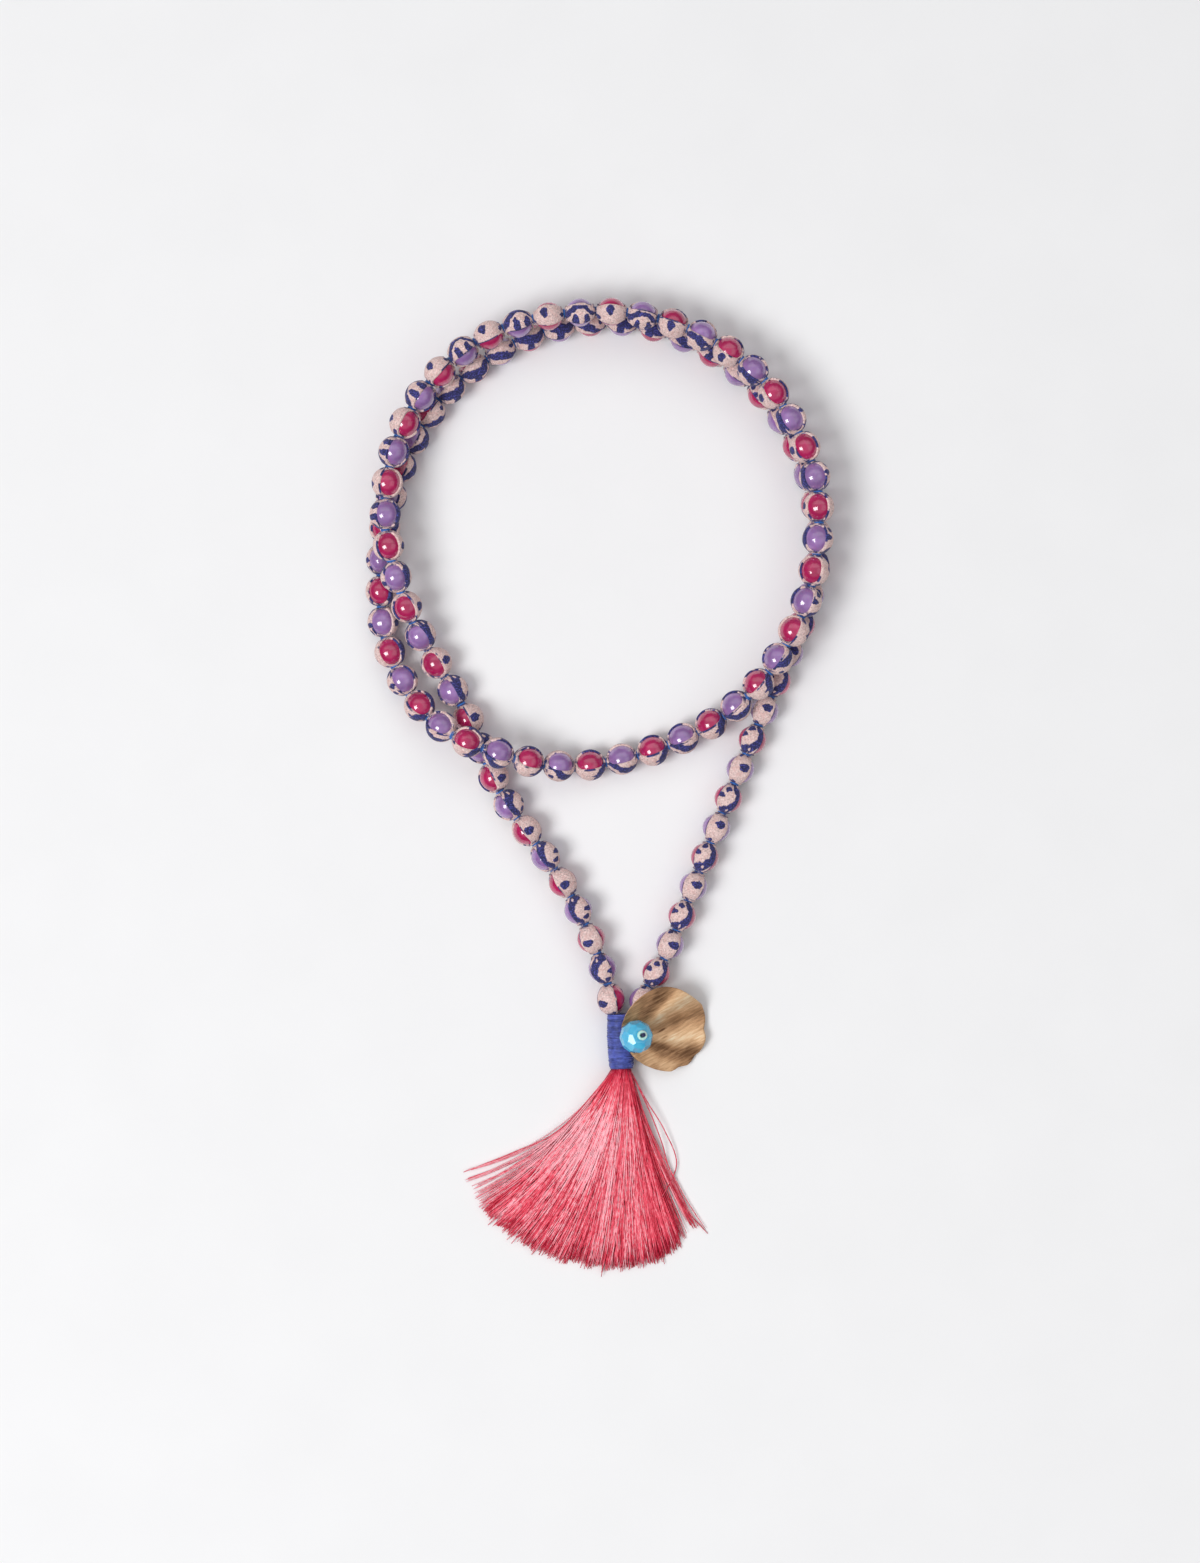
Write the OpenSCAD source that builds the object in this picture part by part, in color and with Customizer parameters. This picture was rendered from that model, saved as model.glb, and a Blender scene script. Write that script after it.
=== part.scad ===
// Tassel necklace of resin balls wrapped in printed ribbon, lying on a floor at z = 0.
// One string makes a ring that passes over itself, and both its ends run into the tassel's head.

/* [Balls] */
// Diameter of a resin ball
bead_d = 8; // [7:0.1:9]
// Hole drilled through a ball for the stringing thread
bead_bore_d = 1.2; // [1:0.1:1.8]
// Gap between two neighbouring balls, where the ribbon is tied
tie_gap = 1; // [0.9:0.05:1.6]

/* [Ribbon wrap] */
// Thickness of the wrapped ribbon
ribbon_t = 0.4; // [0.3:0.05:0.6]
// Clearance between the ribbon and the ball inside it
ribbon_clear = 0.1; // [0.1:0.05:0.2]
// Angle of the ball that shows in each almond-shaped opening, at its widest
almond_angle = 92; // [70:1:110]
// Height above the ball's axis at which an opening's two flat cuts meet
almond_keel = 1.4; // [1.1:0.1:1.8]
// Length of the wrap that is left off at each end, short of the ball's pole
wrap_trim = 0.02; // [0:0.01:0.2]

/* [Thread] */
// Diameter of the stringing thread
thread_d = 0.8; // [0.5:0.05:0.9]
// Diameter of a tie between two balls
tie_d = 2.7; // [2:0.1:3.2]
// Thickness of a tie along the string
tie_t = 0.36; // [0.2:0.02:0.5]

/* [Tassel head] */
// Place of the head's upper end, to the right of the ring's middle
head_x = 5.9; // [0:0.1:10]
// Place of the head's upper end, up from the ring's lower edge
head_y = -65; // [-75:0.5:-60]
// Angle at which the head and the tassel lie, off the straight line down
head_turn = 2.5; // [-10:0.5:10]
// Length of the wound binding
binding_len = 15.5; // [12:0.1:22]
// Diameter of the binding where it bulges most
binding_d = 7.8; // [6.5:0.1:8.5]
// Thickness of the wound thread
binding_wall = 1; // [0.8:0.1:1.4]
// Diameter lost between the bulge and each end of the binding
binding_waist = 0.9; // [0:0.1:1.2]
// Number of turns of thread that show along the binding
binding_turns = 22; // [10:1:30]
// Depth of the groove between two turns
turn_depth = 0.12; // [0.05:0.01:0.2]
// Depth of the cup left open at the binding's upper end, above the bundle
cup_depth = 3.7; // [3:0.1:6]

/* [Fringe] */
// Length of the longest lock below the binding
fringe_len = 58.4; // [40:1:90]
// Angle of the outermost lock on the left
fan_left = 57.5; // [20:0.5:65]
// Angle of the outermost lock on the right
fan_right = 22.5; // [10:0.5:60]
// Share of its final angle at which a lock leaves the head
fan_bend = 0.55; // [0.2:0.05:1]
// Number of locks
locks = 14; // [8:1:18]
// Height lost in the groove between two locks, as a share
lock_groove = 0.4; // [0.1:0.05:0.6]
// Length lost in the notch between two lock tips, as a share
tip_notch = 0.06; // [0:0.01:0.15]

/* [Brass petal] */
// Reach of the petal from its hole to its far edge
petal_len = 22.3; // [16:0.1:30]
// Thickness of the sheet
petal_t = 0.5; // [0.4:0.05:1]
// Height of its far edge above the floor
petal_lip = 1.5; // [0.8:0.1:3]
// Slope at which its upper side climbs over the string
petal_climb = 0.66; // [0.3:0.01:0.7]
// Slope at which its lower side falls
petal_fall = 0.2; // [0:0.01:0.3]
// Height of the flutes at the far edge
flute_h = 1.1; // [0:0.05:1.2]
// Angle between two flutes
flute_pitch = 36; // [18:1:40]
// Direction of the middle flute's crest, from the petal's far edge towards the ring
flute_turn = -1; // [-18:1:18]
// Diameter of the hole for the charm thread
petal_hole_d = 1.1; // [0.9:0.1:1.4]

/* [Faceted bead] */
// Diameter of the faceted bead across its facets
charm_d = 9; // [7:0.1:9.2]
// Height of the faceted bead along its hole
charm_h = 8; // [6:0.1:8.8]
// Facets in each of its rows
charm_facets = 11; // [6:1:12]
// Lean of the bead and its thread
charm_lean = 20; // [10:1:26]
// Direction of that lean, turned from the petal's far edge towards the ring
charm_swing = 24; // [0:1:45]
// Distance at which the bead stands off the petal along its thread
charm_rise = 1; // [0.5:0.1:2]
// Diameter of the small stopper bead
stopper_d = 2.9; // [2:0.1:4]
// Height of the stopper bead
stopper_h = 1.9; // [1.2:0.1:3]
// Hole in the faceted bead and in the stopper bead
charm_bore_d = 1; // [0.9:0.1:1.4]
// Diameter of the charm thread
charm_thread_d = 0.6; // [0.4:0.05:0.7]

/* [Hidden] */
$fn = 64;

// Clearance between two pieces that lie against each other
seat_gap = 0.12;
// Outer diameter of a wrapped ball
wrap_d = bead_d + 2 * (ribbon_clear + ribbon_t);
// Half length of a wrap along the string
wrap_half = bead_d / 2 - wrap_trim;
// Axis height of the head above the floor
head_z = binding_d / 2;
// Share of the fringe's length at which the grooves between its locks reach their full depth
groove_run = 0.33;
// How fast the petal falls from its hole, and how its sides' slope fades, towards its far edge
petal_sag = 1.45;
petal_fade = 0.3;
// How the flutes grow from the hole outwards
flute_growth = 1.5;
// Length of the charm thread below the petal's hole
charm_tail = 1.6;
// Tilt of the faceted bead's upper and lower facets off its hole
facet_tilt = 48;

// Route of the string from the head round the ring and back, in millimetres: x and y on the floor,
// the height of its middle as a share of a wrapped ball's diameter, and the turn of the openings
// in degrees, from straight up towards the right of the way the string runs
route = [
    [4.5, -65.2, 0.5, 40],
    [1.3, -52.1, 0.5, 74],
    [-7.4, -32.0, 0.5, 104],
    [-17.6, -16.6, 0.5, 116],
    [-28.0, -1.6, 0.5, 130],
    [-37.0, 19.2, 0.5, 139],
    [-46.2, 35.2, 0.52, 154],
    [-52.8, 46.8, 0.95, 163],
    [-58.6, 63.6, 1.38, 178],
    [-60.4, 81.2, 1.48, 198],
    [-55.2, 102.2, 1.42, 211],
    [-41.9, 120.3, 1.37, 228],
    [-22.8, 131.0, 1.42, 246],
    [3.5, 134.3, 1.44, 280],
    [25.4, 129.4, 1.39, 314],
    [44.0, 117.5, 1.45, 341],
    [54.6, 103.3, 1.49, 351],
    [61.4, 87.4, 1.5, 359],
    [62.1, 69.8, 1.5, 373],
    [58.8, 51.8, 1.48, 381],
    [50.6, 35.7, 1.42, 394],
    [42.2, 25.4, 1.26, 398],
    [31.8, 17.4, 0.68, 393],
    [15.4, 10.0, 0.5, 389],
    [-4.0, 5.6, 0.52, 387],
    [-15.8, 6.1, 0.94, 385],
    [-25.0, 8.2, 1.36, 380],
    [-33.5, 11.0, 1.5, 376],
    [-41.9, 14.8, 1.28, 374],
    [-52.2, 24.0, 0.62, 371],
    [-60.2, 39.8, 0.5, 360],
    [-62.0, 56.0, 0.5, 350],
    [-60.8, 75.0, 0.5, 348],
    [-54.6, 95.2, 0.5, 333],
    [-42.2, 113.4, 0.5, 298],
    [-20.2, 127.8, 0.5, 284],
    [6.6, 132.4, 0.5, 278],
    [32.4, 123.6, 0.5, 264],
    [52.2, 104.6, 0.5, 257],
    [61.8, 80.0, 0.5, 250],
    [60.4, 54.0, 0.5, 262],
    [47.4, 21.8, 0.5, 275],
    [33.6, -11.8, 0.5, 270],
    [20.2, -45.8, 0.5, 276],
    [14.4, -56.5, 0.5, 272],
    [11.2, -65.4, 0.5, 270]
];

// How far a tie is pushed along the string from an even spacing: share of the string, millimetres
pushes = [
    [0, 0], [0.02, 0.2], [0.1, 0.2], [0.16, 1.5], [0.2, 1.3], [0.25, 0.2], [0.3, -0.2], [0.35, -1],
    [0.39, -1.8], [0.44, -1.5], [0.5, -0.3], [0.53, 0.6], [0.57, 2.1], [0.61, 1.5], [0.64, 1.9],
    [0.67, 1.2], [0.72, 1.2], [0.79, 2.5], [0.82, 2], [0.88, 0.3], [0.95, 0.4], [1, 0]
];

// Outline of the petal round its hole: angle, and reach as a share of petal_len
petal_rows = [
    [-180, 0.08], [-150, 0.08], [-120, 0.085], [-96, 0.15], [-80, 0.24], [-68, 0.33], [-56, 0.46],
    [-47, 0.58], [-40, 0.68], [-36, 0.705], [-31, 0.73], [-26, 0.82], [-20.5, 0.85], [-16, 0.86],
    [-12, 0.91], [-8, 0.94], [-3, 0.965], [1, 0.97], [6.5, 0.95], [12, 0.985], [16, 1],
    [24.5, 1.01], [32, 0.965], [38, 0.93], [44, 0.895], [50, 0.85], [56, 0.8], [63.5, 0.72],
    [72, 0.61], [79, 0.52], [87, 0.43], [97, 0.34], [110, 0.25], [130, 0.17], [155, 0.11]
];

// Length of the locks across the fan, left to right: place as a share, and length as a share
lock_rows = [[0, 0.9], [0.07, 0.91], [0.17, 0.965], [0.33, 0.99], [0.5, 1.005], [0.67, 1],
             [0.79, 0.975], [0.89, 0.92], [0.97, 0.85], [1, 0.9]];

// Cross sections of the fringe from the head to the tips: place as a share of its length, height of
// its side edges, of its crown and of its underside as shares of binding_d, and how boxy it is
fringe_rows = [
    [0.08, 0.43, 0.84, 0.06, 0.9], [0.17, 0.33, 0.72, 0.02, 0.8], [0.28, 0.24, 0.55, 0, 0.7],
    [0.4, 0.18, 0.44, 0, 0.6], [0.52, 0.14, 0.37, 0, 0.5], [0.64, 0.12, 0.32, 0, 0.45],
    [0.75, 0.1, 0.29, 0, 0.4], [0.85, 0.09, 0.26, 0, 0.4], [0.93, 0.085, 0.24, 0, 0.4],
    [1, 0.08, 0.2, 0, 0.4]
];

// Smooth route: a curve through the chosen points, cut into short steps
route_steps = 12;
function knot_at(i) = route[min(max(i, 0), len(route) - 1)];
function curve(a, b, c, d, t) =
    0.5 * (2 * b + (c - a) * t + (2 * a - 5 * b + 4 * c - d) * t * t
    + (3 * b - a - 3 * c + d) * t * t * t);
function lifted(p) = [p[0], p[1], max(p[2], 0.5) * wrap_d, p[3]];
way = [
    for (i = [0:len(route) - 2], k = [0:route_steps - 1])
        lifted(curve(knot_at(i - 1), knot_at(i), knot_at(i + 1), knot_at(i + 2), k / route_steps)),
    lifted(route[len(route) - 1])
];
function place_of(p) = [p[0], p[1], p[2]];
way_len = [
    for (i = 0, s = 0; i < len(way);
        s = s + (i + 1 < len(way) ? norm(place_of(way[i + 1]) - place_of(way[i])) : 0), i = i + 1) s
];
string_len = way_len[len(way) - 1];
way_axis = [for (axis = [0:3]) [for (i = [0:len(way) - 1]) [way_len[i], way[i][axis]]]];

// The balls share the string evenly, and a tie lies at each end of every ball's share
bead_count = round(string_len / (bead_d + tie_gap));
pitch = string_len / bead_count;
function on_string(s) = [for (axis = [0:2]) lookup(s, way_axis[axis])];
function tie_place(j) = on_string(j * pitch + lookup(j / bead_count, pushes));
function bead_place(j) = (tie_place(j) + tie_place(j + 1)) / 2;
function bead_turn(j) = lookup((j + 0.5) * pitch, way_axis[3]);

function unit(v) = v / norm(v);
function upright(along) = unit([0, 0, 1] - along * along[2]);

// Matrix that puts a shape's z axis on a line and its x axis turned round it from straight up
function aim(place, along, turn) =
    let (up = upright(along), side = cross(along, up),
         x = up * cos(turn) + side * sin(turn), y = cross(along, x))
    [[x[0], y[0], along[0], place[0]],
     [x[1], y[1], along[1], place[1]],
     [x[2], y[2], along[2], place[2]],
     [0, 0, 0, 1]];

module on_ball(j) {
    multmatrix(aim(bead_place(j), unit(tie_place(j + 1) - tie_place(j)), bead_turn(j))) children();
}

// A rod between two points, which may stop short of both
module rod(from, to, d, short = 0) {
    along = unit(to - from);
    multmatrix(aim(from + along * short, along, 0)) cylinder(h = norm(to - from) - 2 * short, d = d);
}

module ball() {
    difference() {
        sphere(d = bead_d);
        cylinder(h = 2 * bead_d, d = bead_bore_d, center = true);
    }
}

module magenta_beads() {
    color([0.72, 0.09, 0.36])
        for (j = [0:2:bead_count - 1]) on_ball(j) ball();
}

module lilac_beads() {
    color([0.56, 0.38, 0.72])
        for (j = [1:2:bead_count - 1]) on_ball(j) ball();
}

// One opening: a wedge whose keel runs along the string above the ball's axis
module almond() {
    edge = wrap_d / 2 * [cos(almond_angle / 2), sin(almond_angle / 2)];
    run = edge - [almond_keel, 0];
    reach = run * 2 * wrap_d / norm(run);
    translate([almond_keel, 0, 0])
        linear_extrude(height = 2 * wrap_d, center = true)
            polygon([[0, 0], reach, [reach[0], -reach[1]]]);
}

// The ribbon round one ball, open in an almond shape on two opposite sides
module wrap() {
    difference() {
        intersection() {
            sphere(d = wrap_d);
            cube([2 * wrap_d, 2 * wrap_d, 2 * wrap_half], center = true);
        }
        sphere(d = bead_d + 2 * ribbon_clear);
        almond();
        mirror([1, 0, 0]) almond();
    }
}

module ribbon_wraps() {
    color([0.9, 0.78, 0.76])
        for (j = [0:bead_count - 1]) on_ball(j) wrap();
}

// Head frame: its upper end at the origin, the tassel running down its own -y side
module on_head() {
    translate([head_x, head_y, head_z]) rotate([0, 0, head_turn]) children();
}
function from_head(p) =
    [head_x + p[0] * cos(head_turn) - p[1] * sin(head_turn),
     head_y + p[0] * sin(head_turn) + p[1] * cos(head_turn), head_z + p[2]];

plug_d = binding_d - binding_waist - 2 * (binding_wall + seat_gap);
// Each end of the string runs to a knot of its own, in the cup above the head's bundle
knot_d = thread_d * 1.75;
function knot_place(side) = from_head([side * knot_d * 0.7, -cup_depth / 2, 0]);
string_ends = [[tie_place(0), knot_place(-1)], [tie_place(bead_count), knot_place(1)]];

module tie() {
    rim = tie_d / 2;
    half = tie_t / 2;
    rotate_extrude()
        polygon([[0, -half], [rim - half, -half], [rim, 0], [rim - half, half], [0, half]]);
}

// The rods between the ties end inside them, so that each tie joins its two rods
module stringing_thread() {
    end_short = tie_t / 4;
    color([0.13, 0.24, 0.55])
        union() {
            for (j = [0:bead_count - 1]) rod(tie_place(j), tie_place(j + 1), thread_d, end_short);
            for (j = [1:bead_count - 1])
                multmatrix(aim(tie_place(j), unit(bead_place(j) - bead_place(j - 1)), 0)) tie();
            for (e = string_ends) {
                rod(e[0], e[1], thread_d, end_short);
                translate(e[0]) sphere(d = thread_d * 1.4);
                translate(e[1]) sphere(d = knot_d);
            }
        }
}

// Radius of the binding at a share of its length, with the grooves between its turns
function binding_r(s) = (binding_d - binding_waist * pow(2 * s - 1, 2)) / 2;

module binding_shell() {
    rows = 2 * binding_turns;
    profile = [for (i = [0:rows])
        let (s = i / rows, groove = i % 2 == 0 ? turn_depth : 0)
        [binding_r(s) - groove, -s * binding_len]];
    inner = plug_d / 2 + seat_gap;
    rotate([-90, 0, 0]) mirror([0, 0, 1])
        rotate_extrude()
            polygon(concat([for (p = profile) [p[0], -p[1]]], [[inner, binding_len], [inner, 0]]));
}

// Charm axis: the hole in the petal, and the direction of the charm thread from there
charm_up = [sin(charm_lean) * cos(charm_swing), sin(charm_lean) * sin(charm_swing), cos(charm_lean)];
petal_spot = from_head([binding_d * 0.36, -binding_len * 0.44, -head_z]);
petal_base = binding_d * 0.94;
petal_hole = petal_spot + [0, 0, petal_base];
charm_foot = petal_hole + charm_up * (petal_t / cos(charm_lean) + charm_rise);
stopper_foot = charm_foot + charm_up * (charm_h + seat_gap);
charm_top = stopper_foot + charm_up * stopper_h;
charm_root = petal_hole - charm_up * charm_tail;

module on_charm(place) {
    translate(place) rotate([0, charm_lean, charm_swing]) children();
}

module tassel_binding() {
    color([0.2, 0.24, 0.58])
        difference() {
            on_head() binding_shell();
            rod(string_ends[1][0], string_ends[1][1], thread_d + 2 * seat_gap);
            rod(charm_root - charm_up, charm_top, charm_thread_d + 2 * seat_gap);
        }
}

// Fringe columns run from the left edge to the right, four to a lock
lock_columns = 4;
columns = locks * lock_columns;
function column_share(k) = k / columns;
function off_middle(k) = abs(2 * (k % lock_columns) / lock_columns - 1);
function lock_len(k) =
    fringe_len * lookup(column_share(k), lock_rows) * (1 - tip_notch * off_middle(k));
function fan_angle(k) = -fan_left + (fan_left + fan_right) * column_share(k);
function heading(angle, l) = [l * sin(angle), -l * cos(angle)];
function lock_plan(k, s) =
    let (a = fan_angle(k), l = lock_len(k),
         start = [-plug_d / 2 * cos(180 * column_share(k)), -binding_len],
         middle = start + heading(fan_bend * a, l / 2),
         tip = start + heading(a, l))
    start * (1 - s) * (1 - s) + middle * 2 * s * (1 - s) + tip * s * s;

// One ring of the fringe: along its crown from left to right, and back along its underside
function side_round(k, boxy) = pow(max(sin(180 * column_share(k)), 0), boxy);
function ring(row) =
    let (s = row[0], edge = row[1] * binding_d, crown = row[2] * binding_d,
         under = row[3] * binding_d, boxy = row[4], groove = lock_groove * min(1, s / groove_run))
    concat(
        [for (k = [0:columns])
            let (p = lock_plan(k, s), h = (crown - edge) * side_round(k, boxy))
            [p[0], p[1], edge + h * (1 - groove * off_middle(k) * (1 - s * 0.3)) - head_z]],
        [for (k = [columns - 1:-1:1])
            let (p = lock_plan(k, s), h = (edge - under) * side_round(k, boxy))
            [p[0], p[1], edge - h - head_z]]);
function plug_ring(y) =
    concat(
        [for (k = [0:columns]) let (a = 180 * column_share(k))
            [-plug_d / 2 * cos(a), y, plug_d / 2 * sin(a)]],
        [for (k = [columns - 1:-1:1]) let (a = 180 * column_share(k))
            [-plug_d / 2 * cos(a), y, -plug_d / 2 * sin(a)]]);

module tassel_fringe() {
    rings = concat([plug_ring(-cup_depth), plug_ring(-binding_len - seat_gap)],
                   [for (row = fringe_rows) ring(row)]);
    n = 2 * columns;
    last = (len(rings) - 1) * n;
    sides = [for (r = [0:len(rings) - 2], k = [0:n - 1])
        let (a = r * n + k, b = r * n + (k + 1) % n)
        each [[a, b, a + n], [b, b + n, a + n]]];
    head_cap = [[for (k = [n - 1:-1:0]) k]];
    tip_cap = [for (k = [0:columns - 1])
        let (low = k == 0 ? 0 : n - k, low_next = n - k - 1)
        each (k == 0 ? [[last, last + 1, last + low_next]] :
              k == columns - 1 ? [[last + k, last + k + 1, last + low]] :
              [[last + k, last + k + 1, last + low], [last + k + 1, last + low_next, last + low]])];
    color([0.92, 0.37, 0.45])
        on_head() polyhedron(points = [for (r = rings) each r],
                             faces = concat(head_cap, sides, tip_cap));
}

// Underside of the petal at a point measured from its hole, x towards the far edge
petal_flat = charm_d * 0.44;
function petal_under(x, y) =
    let (left = max(0, 1 - x / petal_len), side = y > 0 ? petal_climb : -petal_fall,
         far = norm([x, y]) / petal_len)
    petal_lip + (petal_base - petal_lip) * pow(left, petal_sag)
    + side * (norm([y, petal_flat]) - petal_flat) * pow(left, petal_fade)
    + flute_h * pow(far, flute_growth) * cos((atan2(y, x) - flute_turn) * 360 / flute_pitch);

module brass_petal() {
    stations = [0, 0.16, 0.34, 0.52, 0.7, 0.86, 1];
    n = len(petal_rows);
    m = len(stations);
    hole = petal_hole_d / 2;
    skin = [for (s = stations, row = petal_rows)
        let (r = hole + (row[1] * petal_len - hole) * s, x = r * cos(row[0]), y = r * sin(row[0]))
        [x, y, petal_under(x, y)]];
    top = n * m;
    points = concat(skin, [for (p = skin) p + [0, 0, petal_t]]);
    under = [for (i = [0:m - 2], k = [0:n - 1])
        let (a = i * n + k, b = i * n + (k + 1) % n)
        each [[a, b + n, b], [a, a + n, b + n]]];
    over = [for (f = under) [f[0] + top, f[2] + top, f[1] + top]];
    rims = [for (k = [0:n - 1])
        let (b = (k + 1) % n, c = (m - 1) * n + k, d = (m - 1) * n + b)
        each [[k, b, b + top], [k, b + top, k + top], [c, d + top, d], [c, c + top, d + top]]];
    color([0.66, 0.5, 0.3])
        translate(petal_spot) polyhedron(points = points, faces = concat(under, over, rims));
}

// A block whose lower face is one facet, at a tilt from the bead's middle
module facet(turn, tilt, reach) {
    rotate([0, 0, turn]) rotate([0, tilt, 0])
        translate([-charm_d, -charm_d, reach]) cube(2 * charm_d);
}

module faceted_bead() {
    step = 360 / charm_facets;
    color([0.33, 0.75, 0.88])
        on_charm(charm_foot + charm_up * charm_h / 2)
            difference() {
                cylinder(h = charm_h, r = charm_d, center = true);
                for (k = [0:charm_facets - 1]) {
                    facet(k * step, 90, charm_d / 2);
                    facet((k + 0.5) * step, facet_tilt, charm_d / 2);
                    facet((k + 0.5) * step, 180 - facet_tilt, charm_d / 2);
                }
                cylinder(h = 2 * charm_h, d = charm_bore_d, center = true);
            }
}

module stopper_bead() {
    wall = (stopper_d - charm_bore_d) / 2;
    round = min(wall, stopper_h) * 0.4;
    color([0.74, 0.93, 0.9])
        on_charm(stopper_foot)
            rotate_extrude()
                translate([charm_bore_d / 2, 0])
                    polygon([[round / 2, 0], [wall - round, 0], [wall, round],
                             [wall, stopper_h - round], [wall - round, stopper_h],
                             [round / 2, stopper_h], [0, stopper_h - round / 2], [0, round / 2]]);
}

module charm_thread() {
    color([0.13, 0.2, 0.45])
        union() {
            rod(charm_root, charm_top, charm_thread_d);
            translate(charm_top + charm_up * charm_thread_d / 2) sphere(d = 2 * charm_thread_d);
        }
}

magenta_beads();
lilac_beads();
ribbon_wraps();
stringing_thread();
tassel_binding();
tassel_fringe();
brass_petal();
faceted_bead();
stopper_bead();
charm_thread();
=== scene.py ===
"""Looks of the tassel necklace: ribbon round resin balls, silk tassel, brass petal and studio."""

import math
import random

import bmesh
import bpy
from mathutils import Matrix, Vector, noise


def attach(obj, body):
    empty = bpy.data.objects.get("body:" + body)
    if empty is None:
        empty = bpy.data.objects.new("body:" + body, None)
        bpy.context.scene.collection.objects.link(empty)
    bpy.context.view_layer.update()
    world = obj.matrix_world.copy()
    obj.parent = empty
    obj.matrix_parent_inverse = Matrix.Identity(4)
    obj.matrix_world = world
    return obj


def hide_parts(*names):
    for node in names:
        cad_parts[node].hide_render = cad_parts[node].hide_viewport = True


bl_info = {
    "name": "Tassel necklace",
    "version": (1, 0, 0),
    "blender": (4, 5, 0),
    "location": "3D View > Sidebar > Necklace",
    "description": "Dresses the packed necklace and lights it on a pale floor",
    "category": "Object",
}

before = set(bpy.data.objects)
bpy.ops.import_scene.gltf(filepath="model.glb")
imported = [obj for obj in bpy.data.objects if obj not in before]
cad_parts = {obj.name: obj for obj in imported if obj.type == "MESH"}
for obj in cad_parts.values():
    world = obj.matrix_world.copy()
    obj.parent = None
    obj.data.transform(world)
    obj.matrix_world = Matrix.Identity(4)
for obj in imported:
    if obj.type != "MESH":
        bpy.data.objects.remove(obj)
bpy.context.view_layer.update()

MM = 0.001
BODY = "root"

# Route of the string and the pushes along it, as in the part's source, in millimetres
ROUTE = [
    (4.5, -65.2, 0.5, 40), (1.3, -52.1, 0.5, 74), (-7.4, -32.0, 0.5, 104), (-17.6, -16.6, 0.5, 116),
    (-28.0, -1.6, 0.5, 130), (-37.0, 19.2, 0.5, 139), (-46.2, 35.2, 0.52, 154),
    (-52.8, 46.8, 0.95, 163), (-58.6, 63.6, 1.38, 178), (-60.4, 81.2, 1.48, 198),
    (-55.2, 102.2, 1.42, 211), (-41.9, 120.3, 1.37, 228), (-22.8, 131.0, 1.42, 246),
    (3.5, 134.3, 1.44, 280), (25.4, 129.4, 1.39, 314), (44.0, 117.5, 1.45, 341),
    (54.6, 103.3, 1.49, 351), (61.4, 87.4, 1.5, 359), (62.1, 69.8, 1.5, 373),
    (58.8, 51.8, 1.48, 381), (50.6, 35.7, 1.42, 394), (42.2, 25.4, 1.26, 398),
    (31.8, 17.4, 0.68, 393), (15.4, 10.0, 0.5, 389), (-4.0, 5.6, 0.52, 387),
    (-15.8, 6.1, 0.94, 385), (-25.0, 8.2, 1.36, 380), (-33.5, 11.0, 1.5, 376),
    (-41.9, 14.8, 1.28, 374), (-52.2, 24.0, 0.62, 371), (-60.2, 39.8, 0.5, 360),
    (-62.0, 56.0, 0.5, 350), (-60.8, 75.0, 0.5, 348), (-54.6, 95.2, 0.5, 333),
    (-42.2, 113.4, 0.5, 298), (-20.2, 127.8, 0.5, 284), (6.6, 132.4, 0.5, 278),
    (32.4, 123.6, 0.5, 264), (52.2, 104.6, 0.5, 257), (61.8, 80.0, 0.5, 250),
    (60.4, 54.0, 0.5, 262), (47.4, 21.8, 0.5, 275), (33.6, -11.8, 0.5, 270),
    (20.2, -45.8, 0.5, 276), (14.4, -56.5, 0.5, 272), (11.2, -65.4, 0.5, 270),
]
PUSHES = [
    (0, 0), (0.02, 0.2), (0.1, 0.2), (0.16, 1.5), (0.2, 1.3), (0.25, 0.2), (0.3, -0.2), (0.35, -1),
    (0.39, -1.8), (0.44, -1.5), (0.5, -0.3), (0.53, 0.6), (0.57, 2.1), (0.61, 1.5), (0.64, 1.9),
    (0.67, 1.2), (0.72, 1.2), (0.79, 2.5), (0.82, 2), (0.88, 0.3), (0.95, 0.4), (1, 0),
]
ROUTE_STEPS = 12
# Height of the middle of a ball that lies on the floor, in wrapped balls
ON_FLOOR = 0.5

# Tassel head, fringe and petal, as in the part's source, in millimetres
HEAD = (5.9, -65.0, 3.9)
HEAD_TURN = 2.5
BINDING_LEN = 15.5
BINDING_D = 7.8
BINDING_WAIST = 0.9
PLUG_D = 4.66
FRINGE_LEN = 58.4
FAN_LEFT = 57.5
FAN_RIGHT = 22.5
FAN_BEND = 0.55
# How far inside the binding the threads begin, and how many degrees further left the threads of
# the left edge leave the head
THREADS_IN = 0.6
PEEL = 11
# Final angles between which the threads lie packed
MASS_LEFT = 45.5
MASS_RIGHT = 14.5
# Place across the fan from its left, and the length there as a share of the fringe's
LOCK_ROWS = [(0, 0.9), (0.07, 0.91), (0.17, 0.965), (0.33, 0.99), (0.5, 1.005), (0.67, 1),
             (0.79, 0.975), (0.89, 0.92), (0.97, 0.85), (1, 0.9)]
# Place along the fringe, side height, crown height, underside height, boxiness
FRINGE_ROWS = [
    (0, 0.3, 0.78, 0.2, 1), (0.08, 0.43, 0.84, 0.06, 0.9), (0.17, 0.33, 0.72, 0.02, 0.8),
    (0.28, 0.24, 0.55, 0, 0.7), (0.4, 0.18, 0.44, 0, 0.6), (0.52, 0.14, 0.37, 0, 0.5),
    (0.64, 0.12, 0.32, 0, 0.45), (0.75, 0.1, 0.29, 0, 0.4), (0.85, 0.09, 0.26, 0, 0.4),
    (0.93, 0.085, 0.24, 0, 0.4), (1, 0.08, 0.2, 0, 0.4),
]
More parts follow.
